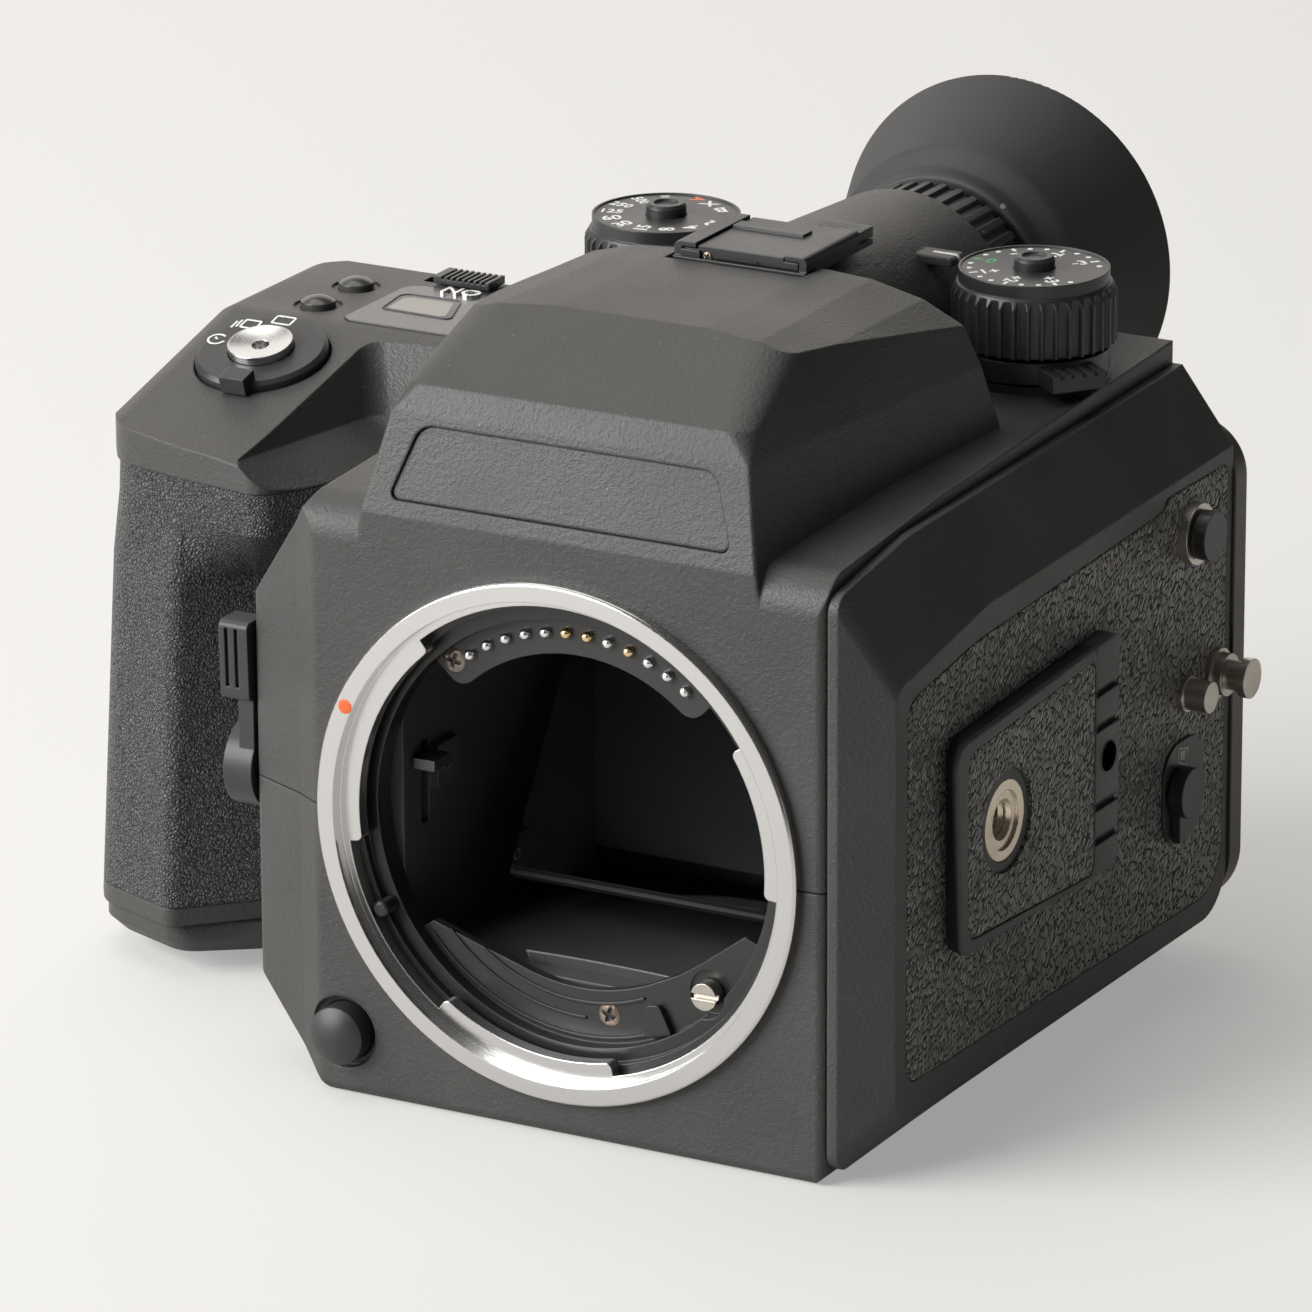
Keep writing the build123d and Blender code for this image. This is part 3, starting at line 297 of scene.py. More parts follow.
def addNode(tree, kind, sockets=None, **settings):
    node = tree.nodes.new("ShaderNode" + kind)
    for key, value in settings.items():
        setattr(node, key, value)
    feed(tree, node, sockets or {})
    return node


def newGroup(name, inputs, outputs):
    # empty node group with the named inputs (kind, default) and outputs (kind)
    tree = bpy.data.node_groups.new(name, "ShaderNodeTree")
    for label, (kind, value) in inputs.items():
        socket = tree.interface.new_socket(label, in_out="INPUT", socket_type="NodeSocket" + kind)
        if value is not None:
            socket.default_value = value
    for label, kind in outputs.items():
        tree.interface.new_socket(label, in_out="OUTPUT", socket_type="NodeSocket" + kind)
    return tree, tree.nodes.new("NodeGroupInput").outputs, tree.nodes.new("NodeGroupOutput")


def ramp(tree, value, low, high, bottom=0.0, top=1.0):
    # value mapped from low..high to bottom..top and held at both ends
    sockets = {"Value": value, "From Min": low, "From Max": high, "To Min": bottom, "To Max": top}
    return addNode(tree, "MapRange", sockets).outputs["Result"]


def combine(tree, operation, *values):
    # one arithmetic step on the values, in their order
    return addNode(tree, "Math", dict(enumerate(values)), operation=operation).outputs["Value"]


def noise(tree, place, scale, detail, output="Fac", **others):
    sockets = {"Vector": place, "Scale": scale, "Detail": detail, **others}
    return addNode(tree, "TexNoise", sockets).outputs[output]


def vectorStep(tree, operation, *values):
    return addNode(tree, "VectorMath", dict(enumerate(values)), operation=operation)


def mixColor(tree, mask, first, second):
    # first colour where the mask is 0, second where it is 1
    return addNode(tree, "Mix", {0: mask, 6: first, 7: second}, data_type="RGBA").outputs[2]


def bumpNormal(tree, strength, depth, height, **under):
    # the height as a bump, over the normal under it where one is given
    sockets = {"Strength": strength, "Distance": depth, "Height": height, **under}
    return addNode(tree, "Bump", sockets).outputs["Normal"]


def grey(value):
    return (value, value, value)


def tone(color, share=1.0):
    return (color[0] * share, color[1] * share, color[2] * share, 1.0)


# Node groups

edgeLook = {"samples": 6, "flat": 0.995, "wornHighlight": 0.86}
grainLook = {"fineShare": 0.6, "slowScale": 45.0, "slowLow": 0.35, "slowHigh": 0.65}
dustLook = {"size": 0.11, "down": -0.2, "up": 0.5, "downShare": 0.35}
hideLook = {"uneven": (0.3, 0.7, 0.5)}


def softEdgeGroup():
    # the normal rounded over edges within the radius, and a mask of how far it turned there
    tree, inside, outside = newGroup("softEdge", {"Radius": ("Float", 0.0004)},
                                     {"Normal": "Vector", "Edge": "Float"})
    bevel = addNode(tree, "Bevel", {"Radius": inside["Radius"]}, samples=edgeLook["samples"])
    rounded = bevel.outputs["Normal"]
    plain = addNode(tree, "NewGeometry").outputs["Normal"]
    turn = vectorStep(tree, "DOT_PRODUCT", rounded, plain).outputs["Value"]
    feed(tree, outside, {"Normal": rounded, "Edge": ramp(tree, turn, edgeLook["flat"], edgeLook["wornHighlight"])})
    return tree


def grainGroup():
    # fine and coarse noise added as a height, and a slow blotch for uneven sheen
    inputs = {"Vector": ("Vector", None), "Fine": ("Float", 4000.0), "Coarse": ("Float", 900.0)}
    tree, inside, outside = newGroup("paintGrain", inputs, {"Height": "Float", "Blotch": "Float"})
    fine = noise(tree, inside["Vector"], inside["Fine"], 2.0)
    coarse = noise(tree, inside["Vector"], inside["Coarse"], 3.0)
    slow = noise(tree, inside["Vector"], grainLook["slowScale"], 4.0, Roughness=0.6)
    feed(tree, outside, {"Height": combine(tree, "MULTIPLY_ADD", fine, grainLook["fineShare"], coarse),
                         "Blotch": ramp(tree, slow, grainLook["slowLow"], grainLook["slowHigh"])})
    return tree


def dustGroup():
    # small bright specks: the middles of few cells, kept where the surface looks up
    inputs = {"Vector": ("Vector", None), "Scale": ("Float", 260.0), "Share": ("Float", 0.06)}
    tree, inside, outside = newGroup("dustSpecks", inputs, {"Mask": "Float"})
    cells = addNode(tree, "TexVoronoi", {"Vector": inside["Vector"], "Scale": inside["Scale"]}).outputs
    parts = addNode(tree, "SeparateColor", {"Color": cells["Color"]}).outputs
    chosen = combine(tree, "LESS_THAN", parts["Red"], inside["Share"])
    size = combine(tree, "MULTIPLY", parts["Green"], dustLook["size"])
    small = combine(tree, "LESS_THAN", cells["Distance"], size)
    upward = addNode(tree, "SeparateXYZ", {0: addNode(tree, "NewGeometry").outputs["Normal"]}).outputs["Z"]
    kept = ramp(tree, upward, dustLook["down"], dustLook["up"], dustLook["downShare"])
    specks = combine(tree, "MULTIPLY", chosen, small)
    feed(tree, outside, {"Mask": combine(tree, "MULTIPLY", specks, kept)})
    return tree


def hideGroup():
    # cells pushed about by noise: the distance to a cell's edge gives rounded pebbles with creases between
    inputs = {"Vector": ("Vector", None), "Scale": ("Float", 700.0), "Warp": ("Float", 0.0006),
              "Crease": ("Float", 0.16), "Round": ("Float", 0.4)}
    tree, inside, outside = newGroup("hideGrain", inputs, {"Height": "Float", "Crease": "Float"})
    spot = inside["Vector"]
    centered = vectorStep(tree, "SUBTRACT", noise(tree, spot, inside["Scale"], 2.0, "Color"), grey(0.5))
    push = vectorStep(tree, "SCALE", centered.outputs["Vector"])
    feed(tree, push, {"Scale": inside["Warp"]})
    place = vectorStep(tree, "ADD", spot, push.outputs["Vector"]).outputs["Vector"]
    apart = addNode(tree, "TexVoronoi", {"Vector": place, "Scale": inside["Scale"]},
                    feature="DISTANCE_TO_EDGE").outputs["Distance"]
    crease = addNode(tree, "MapRange", {"Value": apart, "From Max": inside["Crease"]},
                     interpolation_type="SMOOTHERSTEP").outputs["Result"]
    pillow = ramp(tree, apart, 0.0, inside["Round"], 0.0, pi / 2)
    crown = combine(tree, "SINE", pillow)
    uneven = ramp(tree, noise(tree, spot, inside["Scale"], 3.0), *hideLook["uneven"])
    feed(tree, outside, {"Height": combine(tree, "MULTIPLY", crown, uneven), "Crease": crease})
    return tree


groups = {"softEdge": softEdgeGroup(), "grain": grainGroup(), "dust": dustGroup(), "hide": hideGroup()}


def groupNode(tree, group, **sockets):
    return addNode(tree, "Group", sockets, node_tree=groups[group]).outputs


# Finishes

finishes = {}


def newMaterial(name):
    material = bpy.data.materials.new(name)
    material.use_nodes = True
    tree = material.node_tree
    tree.nodes.clear()
    shader = addNode(tree, "BsdfPrincipled")
    addNode(tree, "OutputMaterial", {"Surface": shader.outputs["BSDF"]})
    place = addNode(tree, "TexCoord").outputs["Object"]
    finishes[name] = material
    return tree, shader, place


paintShares = {"dark": 0.88, "light": 1.12, "sheen": 0.05, "dust": 0.5, "dustColor": (0.42, 0.41, 0.39, 1.0)}


def paintedFinish(name, look):
    # paint or moulded plastic: grain in the height, blotches in the sheen, edges lightened as wear and
    # painted highlight, and a little dust
    tree, shader, place = newMaterial(name)
    edge = groupNode(tree, "softEdge", Radius=look["round"])
    grain = groupNode(tree, "grain", Vector=place, Fine=look["fine"], Coarse=look["coarse"])
    dust = groupNode(tree, "dust", Vector=place, Scale=look["dustScale"], Share=look["dust"])
    color = mixColor(tree, grain["Blotch"], tone(look["color"], paintShares["dark"]),
                     tone(look["color"], paintShares["light"]))
    # wear and painted highlight: every edge the bevel rounds is lightened towards the worn colour
    wornHighlight = combine(tree, "MULTIPLY", edge["Edge"], look["edgeWearAndHighlight"])
    color = mixColor(tree, wornHighlight, color, tone(look["wornHighlightColor"]))
    dusted = combine(tree, "MULTIPLY", dust["Mask"], paintShares["dust"])
    low = look["roughness"] - paintShares["sheen"]
    high = look["roughness"] + paintShares["sheen"]
    feed(tree, shader, {
        "Base Color": mixColor(tree, dusted, color, paintShares["dustColor"]),
        "Roughness": ramp(tree, grain["Blotch"], 0.0, 1.0, low, high),
        "Normal": bumpNormal(tree, look["strength"], look["depth"], grain["Height"], Normal=edge["Normal"]),
        "Metallic": look["metallic"], "IOR": look["ior"]})


hideShares = {"light": 1.1, "dustColor": (0.3, 0.29, 0.28, 1.0), "sheen": 0.06, "fine": 5200.0,
              "coarse": 1500.0, "dustScale": 300.0, "dust": 0.03, "poreStrength": 0.25, "poreDepth": 0.00005}


def hideFinish(name, look):
    # leatherette or pebbled rubber: stretched cells give the grain; the creases get painted shadow and are
    # duller
    tree, shader, place = newMaterial(name)
    turned = addNode(tree, "Mapping", {"Vector": place, "Rotation": look["turn"], "Scale": look["stretch"]},
                     vector_type="TEXTURE").outputs["Vector"]
    edge = groupNode(tree, "softEdge", Radius=look["round"])
    hide = groupNode(tree, "hide", Vector=turned, Scale=look["scale"], Warp=look["warp"],
                     Crease=look["crease"], Round=look["pillow"])
    grain = groupNode(tree, "grain", Vector=place, Fine=hideShares["fine"], Coarse=hideShares["coarse"])
    dust = groupNode(tree, "dust", Vector=place, Scale=hideShares["dustScale"], Share=hideShares["dust"])
    # painted shadow: the creases take only the pit share of the colour
    color = mixColor(tree, hide["Crease"], tone(look["color"], look["pit"]),
                     tone(look["color"], hideShares["light"]))
    uneven = combine(tree, "MULTIPLY_ADD", grain["Blotch"], 2 * hideShares["sheen"],
                     look["roughness"] - hideShares["sheen"])
    pebbles = bumpNormal(tree, look["strength"], look["depth"], hide["Height"], Normal=edge["Normal"])
    feed(tree, shader, {
        "Base Color": mixColor(tree, dust["Mask"], color, hideShares["dustColor"]),
        "Roughness": combine(tree, "MAXIMUM", uneven, ramp(tree, hide["Crease"], 0.0, 1.0, 1.0, 0.0)),
        "Normal": bumpNormal(tree, hideShares["poreStrength"], hideShares["poreDepth"], grain["Height"],
                             Normal=pebbles),
        "IOR": look["ior"]})


metalShares = {"dark": 0.9, "light": 1.06, "sheenLow": 0.8, "sheenHigh": 1.25, "fine": 3000.0,
               "coarse": 300.0, "ringDepth": 0.00002}


def machinedFinish(name, look):
    # turned metal: noise over the distance from the turning axis draws fine rings in height and sheen
    tree, shader, place = newMaterial(name)
    edge = groupNode(tree, "softEdge", Radius=look["round"])
    centered = addNode(tree, "Mapping", {"Vector": place, "Location": look["center"], "Scale": look["axes"]})
    radius = vectorStep(tree, "LENGTH", centered.outputs["Vector"]).outputs["Value"]
    rings = addNode(tree, "TexNoise", {"W": radius, "Scale": look["rings"], "Detail": 3.0},
                    noise_dimensions="1D").outputs["Fac"]
    grain = groupNode(tree, "grain", Vector=place, Fine=metalShares["fine"], Coarse=metalShares["coarse"])
    color = mixColor(tree, rings, tone(look["color"], metalShares["dark"]),
                     tone(look["color"], metalShares["light"]))
    smudge = combine(tree, "MULTIPLY", grain["Blotch"], look["tarnish"])
    feed(tree, shader, {
        "Base Color": mixColor(tree, smudge, color, tone(look["tarnishColor"])),
        "Roughness": ramp(tree, rings, 0.3, 0.7, look["roughness"] * metalShares["sheenLow"],
                          look["roughness"] * metalShares["sheenHigh"]),
        "Normal": bumpNormal(tree, look["strength"], metalShares["ringDepth"], rings, Normal=edge["Normal"]),
        "Metallic": 1.0})


def glassFinish(name, look):
    # clear or ground glass with a faint coating of smears
    tree, shader, place = newMaterial(name)
    grain = groupNode(tree, "grain", Vector=place, Fine=look["fine"], Coarse=look["coarse"])
    rough = look["roughness"]
    feed(tree, shader, {
        "Base Color": tone(look["color"]), "Metallic": 0.0, "Transmission Weight": look["clear"],
        "IOR": look["ior"], "Roughness": ramp(tree, grain["Blotch"], 0.0, 1.0, rough, rough + look["smear"]),
        "Normal": bumpNormal(tree, look["strength"], look["depth"], grain["Height"])})


signShares = {"fine": 6000.0, "coarse": 2500.0, "dark": 0.82, "light": 1.08, "strength": 0.2,
              "depth": 0.00003}


def signFinish(name, color, roughness):
    # printed paint, slightly uneven where it was filled in
    tree, shader, place = newMaterial(name)
    grain = groupNode(tree, "grain", Vector=place, Fine=signShares["fine"], Coarse=signShares["coarse"])
    feed(tree, shader, {
        "Base Color": mixColor(tree, grain["Height"], tone(color, signShares["dark"]),
                               tone(color, signShares["light"])),
        "Roughness": roughness,
        "Normal": bumpNormal(tree, signShares["strength"], signShares["depth"], grain["Height"])})


# what the paints share, and then what each changes
paintBasis = {"round": 0.0003, "fine": 7000.0, "coarse": 1600.0, "depth": 0.00003, "edgeWearAndHighlight": 0.2, "dust": 0.03,
              "dustScale": 260.0, "metallic": 0.0, "ior": 1.5}
paints = {
    "bodyPaint": {"color": (0.052, 0.0505, 0.048), "roughness": 0.48, "round": 0.0006, "fine": 3600.0,
                  "coarse": 1500.0, "strength": 0.75, "depth": 0.00016, "edgeWearAndHighlight": 0.25,
                  "wornHighlightColor": (0.16, 0.156, 0.15), "dust": 0.22, "dustScale": 900.0},
    "capPlastic": {"color": (0.054, 0.0525, 0.05), "roughness": 0.44, "round": 0.0005, "fine": 3800.0,
                   "strength": 0.7, "depth": 0.00014, "wornHighlightColor": (0.14, 0.137, 0.13), "dust": 0.12,
                   "dustScale": 900.0},
    "controlPlastic": {"color": grey(0.031), "roughness": 0.4, "fine": 6500.0, "coarse": 2200.0,
                       "strength": 0.18, "depth": 0.00005, "edgeWearAndHighlight": 0.3, "wornHighlightColor": (0.11, 0.11, 0.108),
                       "dust": 0.05},
    "satinBlack": {"color": grey(0.022), "roughness": 0.33, "coarse": 2400.0, "strength": 0.1,
                   "depth": 0.00004, "edgeWearAndHighlight": 0.25, "wornHighlightColor": grey(0.1)},
    "glossBlack": {"color": (0.06, 0.058, 0.055), "roughness": 0.16, "round": 0.0002, "coarse": 2400.0,
                   "strength": 0.03, "wornHighlightColor": grey(0.1)},
    "displayBorder": {"color": (0.055, 0.053, 0.05), "roughness": 0.3, "round": 0.0002, "strength": 0.05,
                      "edgeWearAndHighlight": 0.1, "wornHighlightColor": grey(0.12)},
    "flatBlack": {"color": (0.012, 0.012, 0.013), "roughness": 0.72, "fine": 5200.0, "coarse": 1700.0,
                  "strength": 0.3, "depth": 0.00008, "wornHighlightColor": grey(0.05), "dust": 0.04},
    # painted light: the chamber's black is set paler than the body paint to stand in for light reaching
    # inside the mirror box
    "chamberBlackPaintedLight": {"color": (0.075, 0.075, 0.077), "roughness": 0.42, "fine": 5200.0, "coarse": 1700.0,
                     "strength": 0.3, "depth": 0.00008, "wornHighlightColor": grey(0.12), "dust": 0.06},
    # painted shade: a black finish without reflection stands in for the dark of an open hole
    "holeShade": {"color": grey(0.002), "roughness": 0.9, "round": 0.0001, "fine": 5200.0, "coarse": 1700.0,
                 "strength": 0.1, "depth": 0.00002, "edgeWearAndHighlight": 0.0, "wornHighlightColor": grey(0.002), "dust": 0.0,
                 "ior": 1.0},
    "cupRubber": {"color": (0.034, 0.033, 0.033), "roughness": 0.62, "round": 0.0004, "fine": 5600.0,
                  "coarse": 1900.0, "strength": 0.16, "depth": 0.00006, "edgeWearAndHighlight": 0.15,
                  "wornHighlightColor": (0.08, 0.078, 0.075), "dust": 0.12, "dustScale": 200.0},
    "backPlastic": {"color": (0.07, 0.062, 0.056), "roughness": 0.42, "round": 0.0006, "fine": 4200.0,
                    "coarse": 1100.0, "strength": 0.3, "depth": 0.0001, "edgeWearAndHighlight": 0.25,
                    "wornHighlightColor": (0.16, 0.15, 0.14), "dust": 0.04},
    "displayCover": {"color": (0.075, 0.073, 0.07), "roughness": 0.24, "strength": 0.06, "edgeWearAndHighlight": 0.15,
                     "wornHighlightColor": grey(0.15), "dust": 0.05},
    "displayWindow": {"color": (0.27, 0.25, 0.225), "roughness": 0.3, "round": 0.0002, "strength": 0.04,
                      "edgeWearAndHighlight": 0.05, "wornHighlightColor": (0.3, 0.29, 0.27)},
    "bladeMetal": {"color": (0.12, 0.12, 0.125), "roughness": 0.42, "round": 0.0001, "coarse": 1800.0,
                   "strength": 0.08, "wornHighlightColor": grey(0.25), "metallic": 0.8, "dust": 0.01},
    "baffleSheet": {"color": (0.1, 0.1, 0.105), "roughness": 0.34, "round": 0.0002, "fine": 6500.0,
                    "coarse": 1500.0, "strength": 0.06, "edgeWearAndHighlight": 0.1, "wornHighlightColor": grey(0.2), "dust": 0.05},
}
for name, look in paints.items():
    paintedFinish(name, paintBasis | look)

hides = {
    "gripRubber": {"color": grey(0.1), "roughness": 0.4, "round": 0.0006, "scale": 2000.0,
                   "pit": 0.14, "stretch": (1.0, 1.0, 1.3), "turn": (0.0, 0.6, 0.5), "warp": 0.0006,
                   "crease": 0.17, "pillow": 0.46, "ior": 1.55, "strength": 1.0, "depth": 0.0003},
    # painted light: the side leather is far paler than black leather so its crowns stand in for highlights,
    # and its creases are painted near black
    "sideLeather": {"color": (0.42, 0.414, 0.397), "roughness": 0.32, "round": 0.0003, "scale": 1650.0,
                    "pit": 0.015, "stretch": (1.0, 1.0, 2.9), "turn": (-0.7, 0.0, 0.0), "warp": 0.00012,
                    "crease": 0.17, "pillow": 0.42, "ior": 1.65, "strength": 1.0, "depth": 0.0007},
}
for name, look in hides.items():
    hideFinish(name, look)

# the axes are 1 across the turning axis and 0 along it
metalBasis = {"center": (0.0, 0.0, 0.0), "round": 0.0001, "axes": (1.0, 0.0, 1.0), "rings": 9000.0}
metals = {
    "ringSteel": {"color": (0.68, 0.677, 0.67), "roughness": 0.2, "round": 0.0003, "strength": 0.35,
                  "tarnish": 0.15, "tarnishColor": (0.6, 0.58, 0.55)},
    "buttonSteel": {"color": (0.66, 0.655, 0.645), "roughness": 0.26, "round": 0.0003,
                    "axes": (1.0, 1.0, 0.0), "center": (0.081, -0.0576, 0.0), "strength": 0.3,
                    "tarnish": 0.1, "tarnishColor": (0.66, 0.655, 0.645)},
    "dullNickel": {"color": (0.56, 0.53, 0.48), "roughness": 0.34, "round": 0.0002, "axes": (0.0, 1.0, 1.0),
                   "rings": 6000.0, "strength": 0.4, "tarnish": 0.6, "tarnishColor": (0.36, 0.32, 0.26)},
    "pinGold": {"color": (0.82, 0.62, 0.34), "roughness": 0.22, "strength": 0.1, "tarnish": 0.2,
                "tarnishColor": (0.5, 0.36, 0.18)},
    "screwSteel": {"color": (0.24, 0.2, 0.17), "roughness": 0.36, "rings": 8000.0, "strength": 0.2,
                   "tarnish": 0.6, "tarnishColor": (0.13, 0.1, 0.08)},
    "wornBush": {"color": (0.85, 0.79, 0.68), "roughness": 0.26, "round": 0.0002, "axes": (0.0, 1.0, 1.0),
                 "center": (0.0, -0.0344, -0.0016), "rings": 5000.0, "strength": 0.5, "tarnish": 0.7,
                 "tarnishColor": (0.5, 0.4, 0.27)},
    "signChrome": {"color": grey(0.8), "roughness": 0.25, "axes": (1.0, 1.0, 1.0), "rings": 3000.0,
                   "strength": 0.05, "tarnish": 0.1, "tarnishColor": grey(0.7)},
}
for name, look in metals.items():
    machinedFinish(name, metalBasis | look)

mirrorLook = {"facing": (0.0, -0.7071, 0.7071), "color": (0.42, 0.43, 0.44), "edge": grey(0.015),
              "start": -0.15, "full": -0.05, "dullness": 0.6, "gloss": 0.03, "dustScale": 300.0, "dust": 0.05,
              "dustColor": (0.5, 0.5, 0.5, 1.0)}


def mirrorFinish(name, look):
    # silvered on its front plane only: position along the facing direction; the ground edges stay black, dull
    tree, shader, place = newMaterial(name)
    mesh = nodes["reflex_mirror"].data
    spots = np.empty(len(mesh.vertices) * 3, np.float32)
    mesh.vertices.foreach_get("co", spots)
    front = float((spots.reshape(-1, 3) @ np.array(look["facing"])).max())
    along = vectorStep(tree, "DOT_PRODUCT", place, look["facing"]).outputs["Value"]
    silver = ramp(tree, along, front + look["start"] * mm, front + look["full"] * mm)
    dust = groupNode(tree, "dust", Vector=place, Scale=look["dustScale"], Share=look["dust"])
    color = mixColor(tree, silver, tone(look["edge"]), tone(look["color"]))
    feed(tree, shader, {"Base Color": mixColor(tree, dust["Mask"], color, look["dustColor"]),
                        "Metallic": silver,
                        "Roughness": ramp(tree, silver, 0.0, 1.0, look["dullness"], look["gloss"])})


mirrorFinish("frontMirror", mirrorLook)

glassBasis = {"ior": 1.52, "coarse": 600.0, "smear": 0.03, "depth": 0.00002}
glasses = {
    "clearGlass": {"color": (0.93, 0.96, 0.95), "clear": 1.0, "roughness": 0.0, "fine": 2000.0,
                   "strength": 0.0},
    # painted shade: the screen's colour is kept dark so that the mirror shows it as dim as the shaded chamber
    # above it
    "shadedGroundGlass": {"color": (0.22, 0.23, 0.23), "clear": 0.5, "roughness": 0.45, "fine": 9000.0,
                    "strength": 0.3},
}
for name, look in glasses.items():
    glassFinish(name, glassBasis | look)

signPaints = {"whitePaint": ((0.82, 0.82, 0.8), 0.5), "orangePaint": ((0.8, 0.14, 0.035), 0.4),
              "greyPaint": ((0.5, 0.5, 0.49), 0.5), "greenPaint": ((0.05, 0.36, 0.13), 0.5)}
for name, (color, roughness) in signPaints.items():
    signFinish(name, color, roughness)
print("stage:", len(finishes), "finishes made")


# Finishes of the CAD nodes

nodeFinish = {
    "bodyPaint": ["lower_housing", "upper_housing", "nameplate", "finder_housing", "side_frame",
                  "tripod_lug_plate"],
    "capPlastic": ["grip_top", "grip_base"],
    "controlPlastic": ["shoe_cover", "hot_shoe", "shutter_dial", "shutter_dial_lock", "exposure_dial",
                       "exposure_dial_lock", "metering_lever", "sync_cap", "multi_exposure_plate",
                       "multi_exposure_switch", "drive_ring", "power_slider", "battery_holder",
                       "battery_key", "preview_lever", "diopter_ring", "contact_block", "supply_spool",
                       "takeup_spool", "release_button"],
    "satinBlack": ["throat_ring", "lens_lock_pin"],
    "glossBlack": ["up_button", "down_button"],
    "chamberBlackPaintedLight": ["mirror_box"],
    "flatBlack": ["mirror_frame", "shutter_frame", "pressure_plate"],
    "cupRubber": ["eyecup"],
    "backPlastic": ["film_insert"],
    "displayCover": ["display_panel"],
    "bladeMetal": ["shutter_blade_1", "shutter_blade_2", "shutter_blade_3", "aperture_lever"],
    "gripRubber": ["grip_shell"],
    "sideLeather": ["side_leather", "tripod_lug_leather"],
    "ringSteel": ["mount_ring"],
    "buttonSteel": ["shutter_button"],
    "wornBush": ["side_socket"],
    "dullNickel": ["base_socket", "sync_socket", "strap_lugs", "film_insert_key", "af_coupler"],
    "signChrome": ["silver_pins"],
    "pinGold": ["gold_pins"],
    "frontMirror": ["reflex_mirror"],
    "clearGlass": ["finder_prism", "eyepiece_lens"],
    "shadedGroundGlass": ["focusing_screen"],
}
for finish, names in nodeFinish.items():
    for nodeName in names:
        mesh = nodes[nodeName].data
        mesh.materials.clear()
        mesh.materials.append(finishes[finish])
print("stage: CAD nodes finished")


# Screws

screwBasis = {"thick": 0.3, "rings": 26, "spokes": 80, "firmness": 8}
screws = {
    "throatScrew": {"radius": 1.75, "dome": 0.35, "recess": 0.7, "arm": 0.24, "reach": 0.95},
    "bracketScrew": {"radius": 1.15, "dome": 0.25, "recess": 0.5, "arm": 0.16, "reach": 0.65},
    "shoeScrew": {"radius": 0.75, "dome": 0.15, "recess": 0.3, "arm": 0.1, "reach": 0.42},
}
screwSpots = {  # kind of screw, place and body
    "throatScrew1": ("throatScrew", facingFront(7.85, -20.0, 22.2, (0.3, 0, 1)), rootBody),
    "throatScrew2": ("throatScrew", facingFront(7.85, 4.7, -26.9, (0.3, 0, 1)), rootBody),
    "bracketScrew": ("bracketScrew", frameAt((-28.2, 20.0, 1.6), (1, 0, 0), (0, 0.3, 1)), rootBody),
    "shoeScrew": ("shoeScrew", facingFront(56.2, -5.4, 70.95, (0.5, 0, 1)), bodyOf["shoe_cover"]),
}


def crossScrew(values):
    # polar grid: height is a dome less the cross, whose arms are rounded steps in x and y
    share = np.linspace(0, 1, values["rings"])[:, None]
    angle = np.linspace(0, 2 * pi, values["spokes"], endpoint=False)[None]
    x = values["radius"] * share * np.cos(angle)
    y = values["radius"] * share * np.sin(angle)
    power = values["firmness"]
    dome = values["dome"] * (1 - share ** 2) + 0 * angle
    armX = 1 / (1 + (x / values["arm"]) ** power) / (1 + (y / values["reach"]) ** power)
    armY = 1 / (1 + (y / values["arm"]) ** power) / (1 + (x / values["reach"]) ** power)
    z = dome - values["recess"] * np.maximum(armX, armY)
    cap = np.stack([x, y, z], axis=-1)
    foot = cap[-1:] + np.array([0.0, 0.0, -values["thick"]])
    hub = foot * np.array([0.0, 0.0, 1.0])
    points = np.concatenate([cap, foot, hub]).reshape(-1, 3)
    return points, gridFaces(values["rings"] + 2, values["spokes"], True)


for name, (kind, place, body) in screwSpots.items():
    makePiece(name, crossScrew(screwBasis | screws[kind]), place, "screwSteel", body, sharp=50.0)
print("stage: screws made")


# Index dot on the mount ring: a flat dome whose radius and height follow a quarter circle

indexDot = {"x": -33.4, "z": 15.5, "radius": 1.1, "rise": 0.12, "sunk": 0.2}
quarter = np.linspace(0, pi / 2, 8)
profile = np.stack([indexDot["radius"] * np.sin(quarter), indexDot["rise"] * np.cos(quarter)], axis=-1)
profile = np.concatenate([profile, [[indexDot["radius"], -indexDot["sunk"]], [0.0, -indexDot["sunk"]]]])
makePiece("indexDot", lathe(profile, turns=40), facingFront(0.0, indexDot["x"], indexDot["z"]), "orangePaint")
print("stage: index dot made")


# Signs on the dials: a mark is its words, radius, angle and height, and a bar its two radii and half width

dialSigns = {"depth": 0.06, "inset": 0.2,
             "speeds": ["8", "15", "30", "60", "125", "250", "500", "1000", "", "X", "B", "", "2", "4"],
             "speedStart": -60.0, "speedStep": -25.7, "speedRadius": 8.3,
             "speedHeight": {1: 2.4, 2: 2.2, 3: 1.8, 4: 1.4},
             "mark": ("A", 9.2, 88.0, 2.2),
             "steps": {45: "-3", 90: "-2", 135: "-1", 225: "+1", 270: "+2", 315: "+3"},
             "stepRadius": 6.9, "stepHeight": 2.1, "stepBar": (8.6, 9.9, 0.26),
             "dots": range(30, 345, 15), "dotRadius": 9.4, "dotSize": 0.42,
             "zero": 180, "zeroBar": (8.4, 9.9, 0.3)}


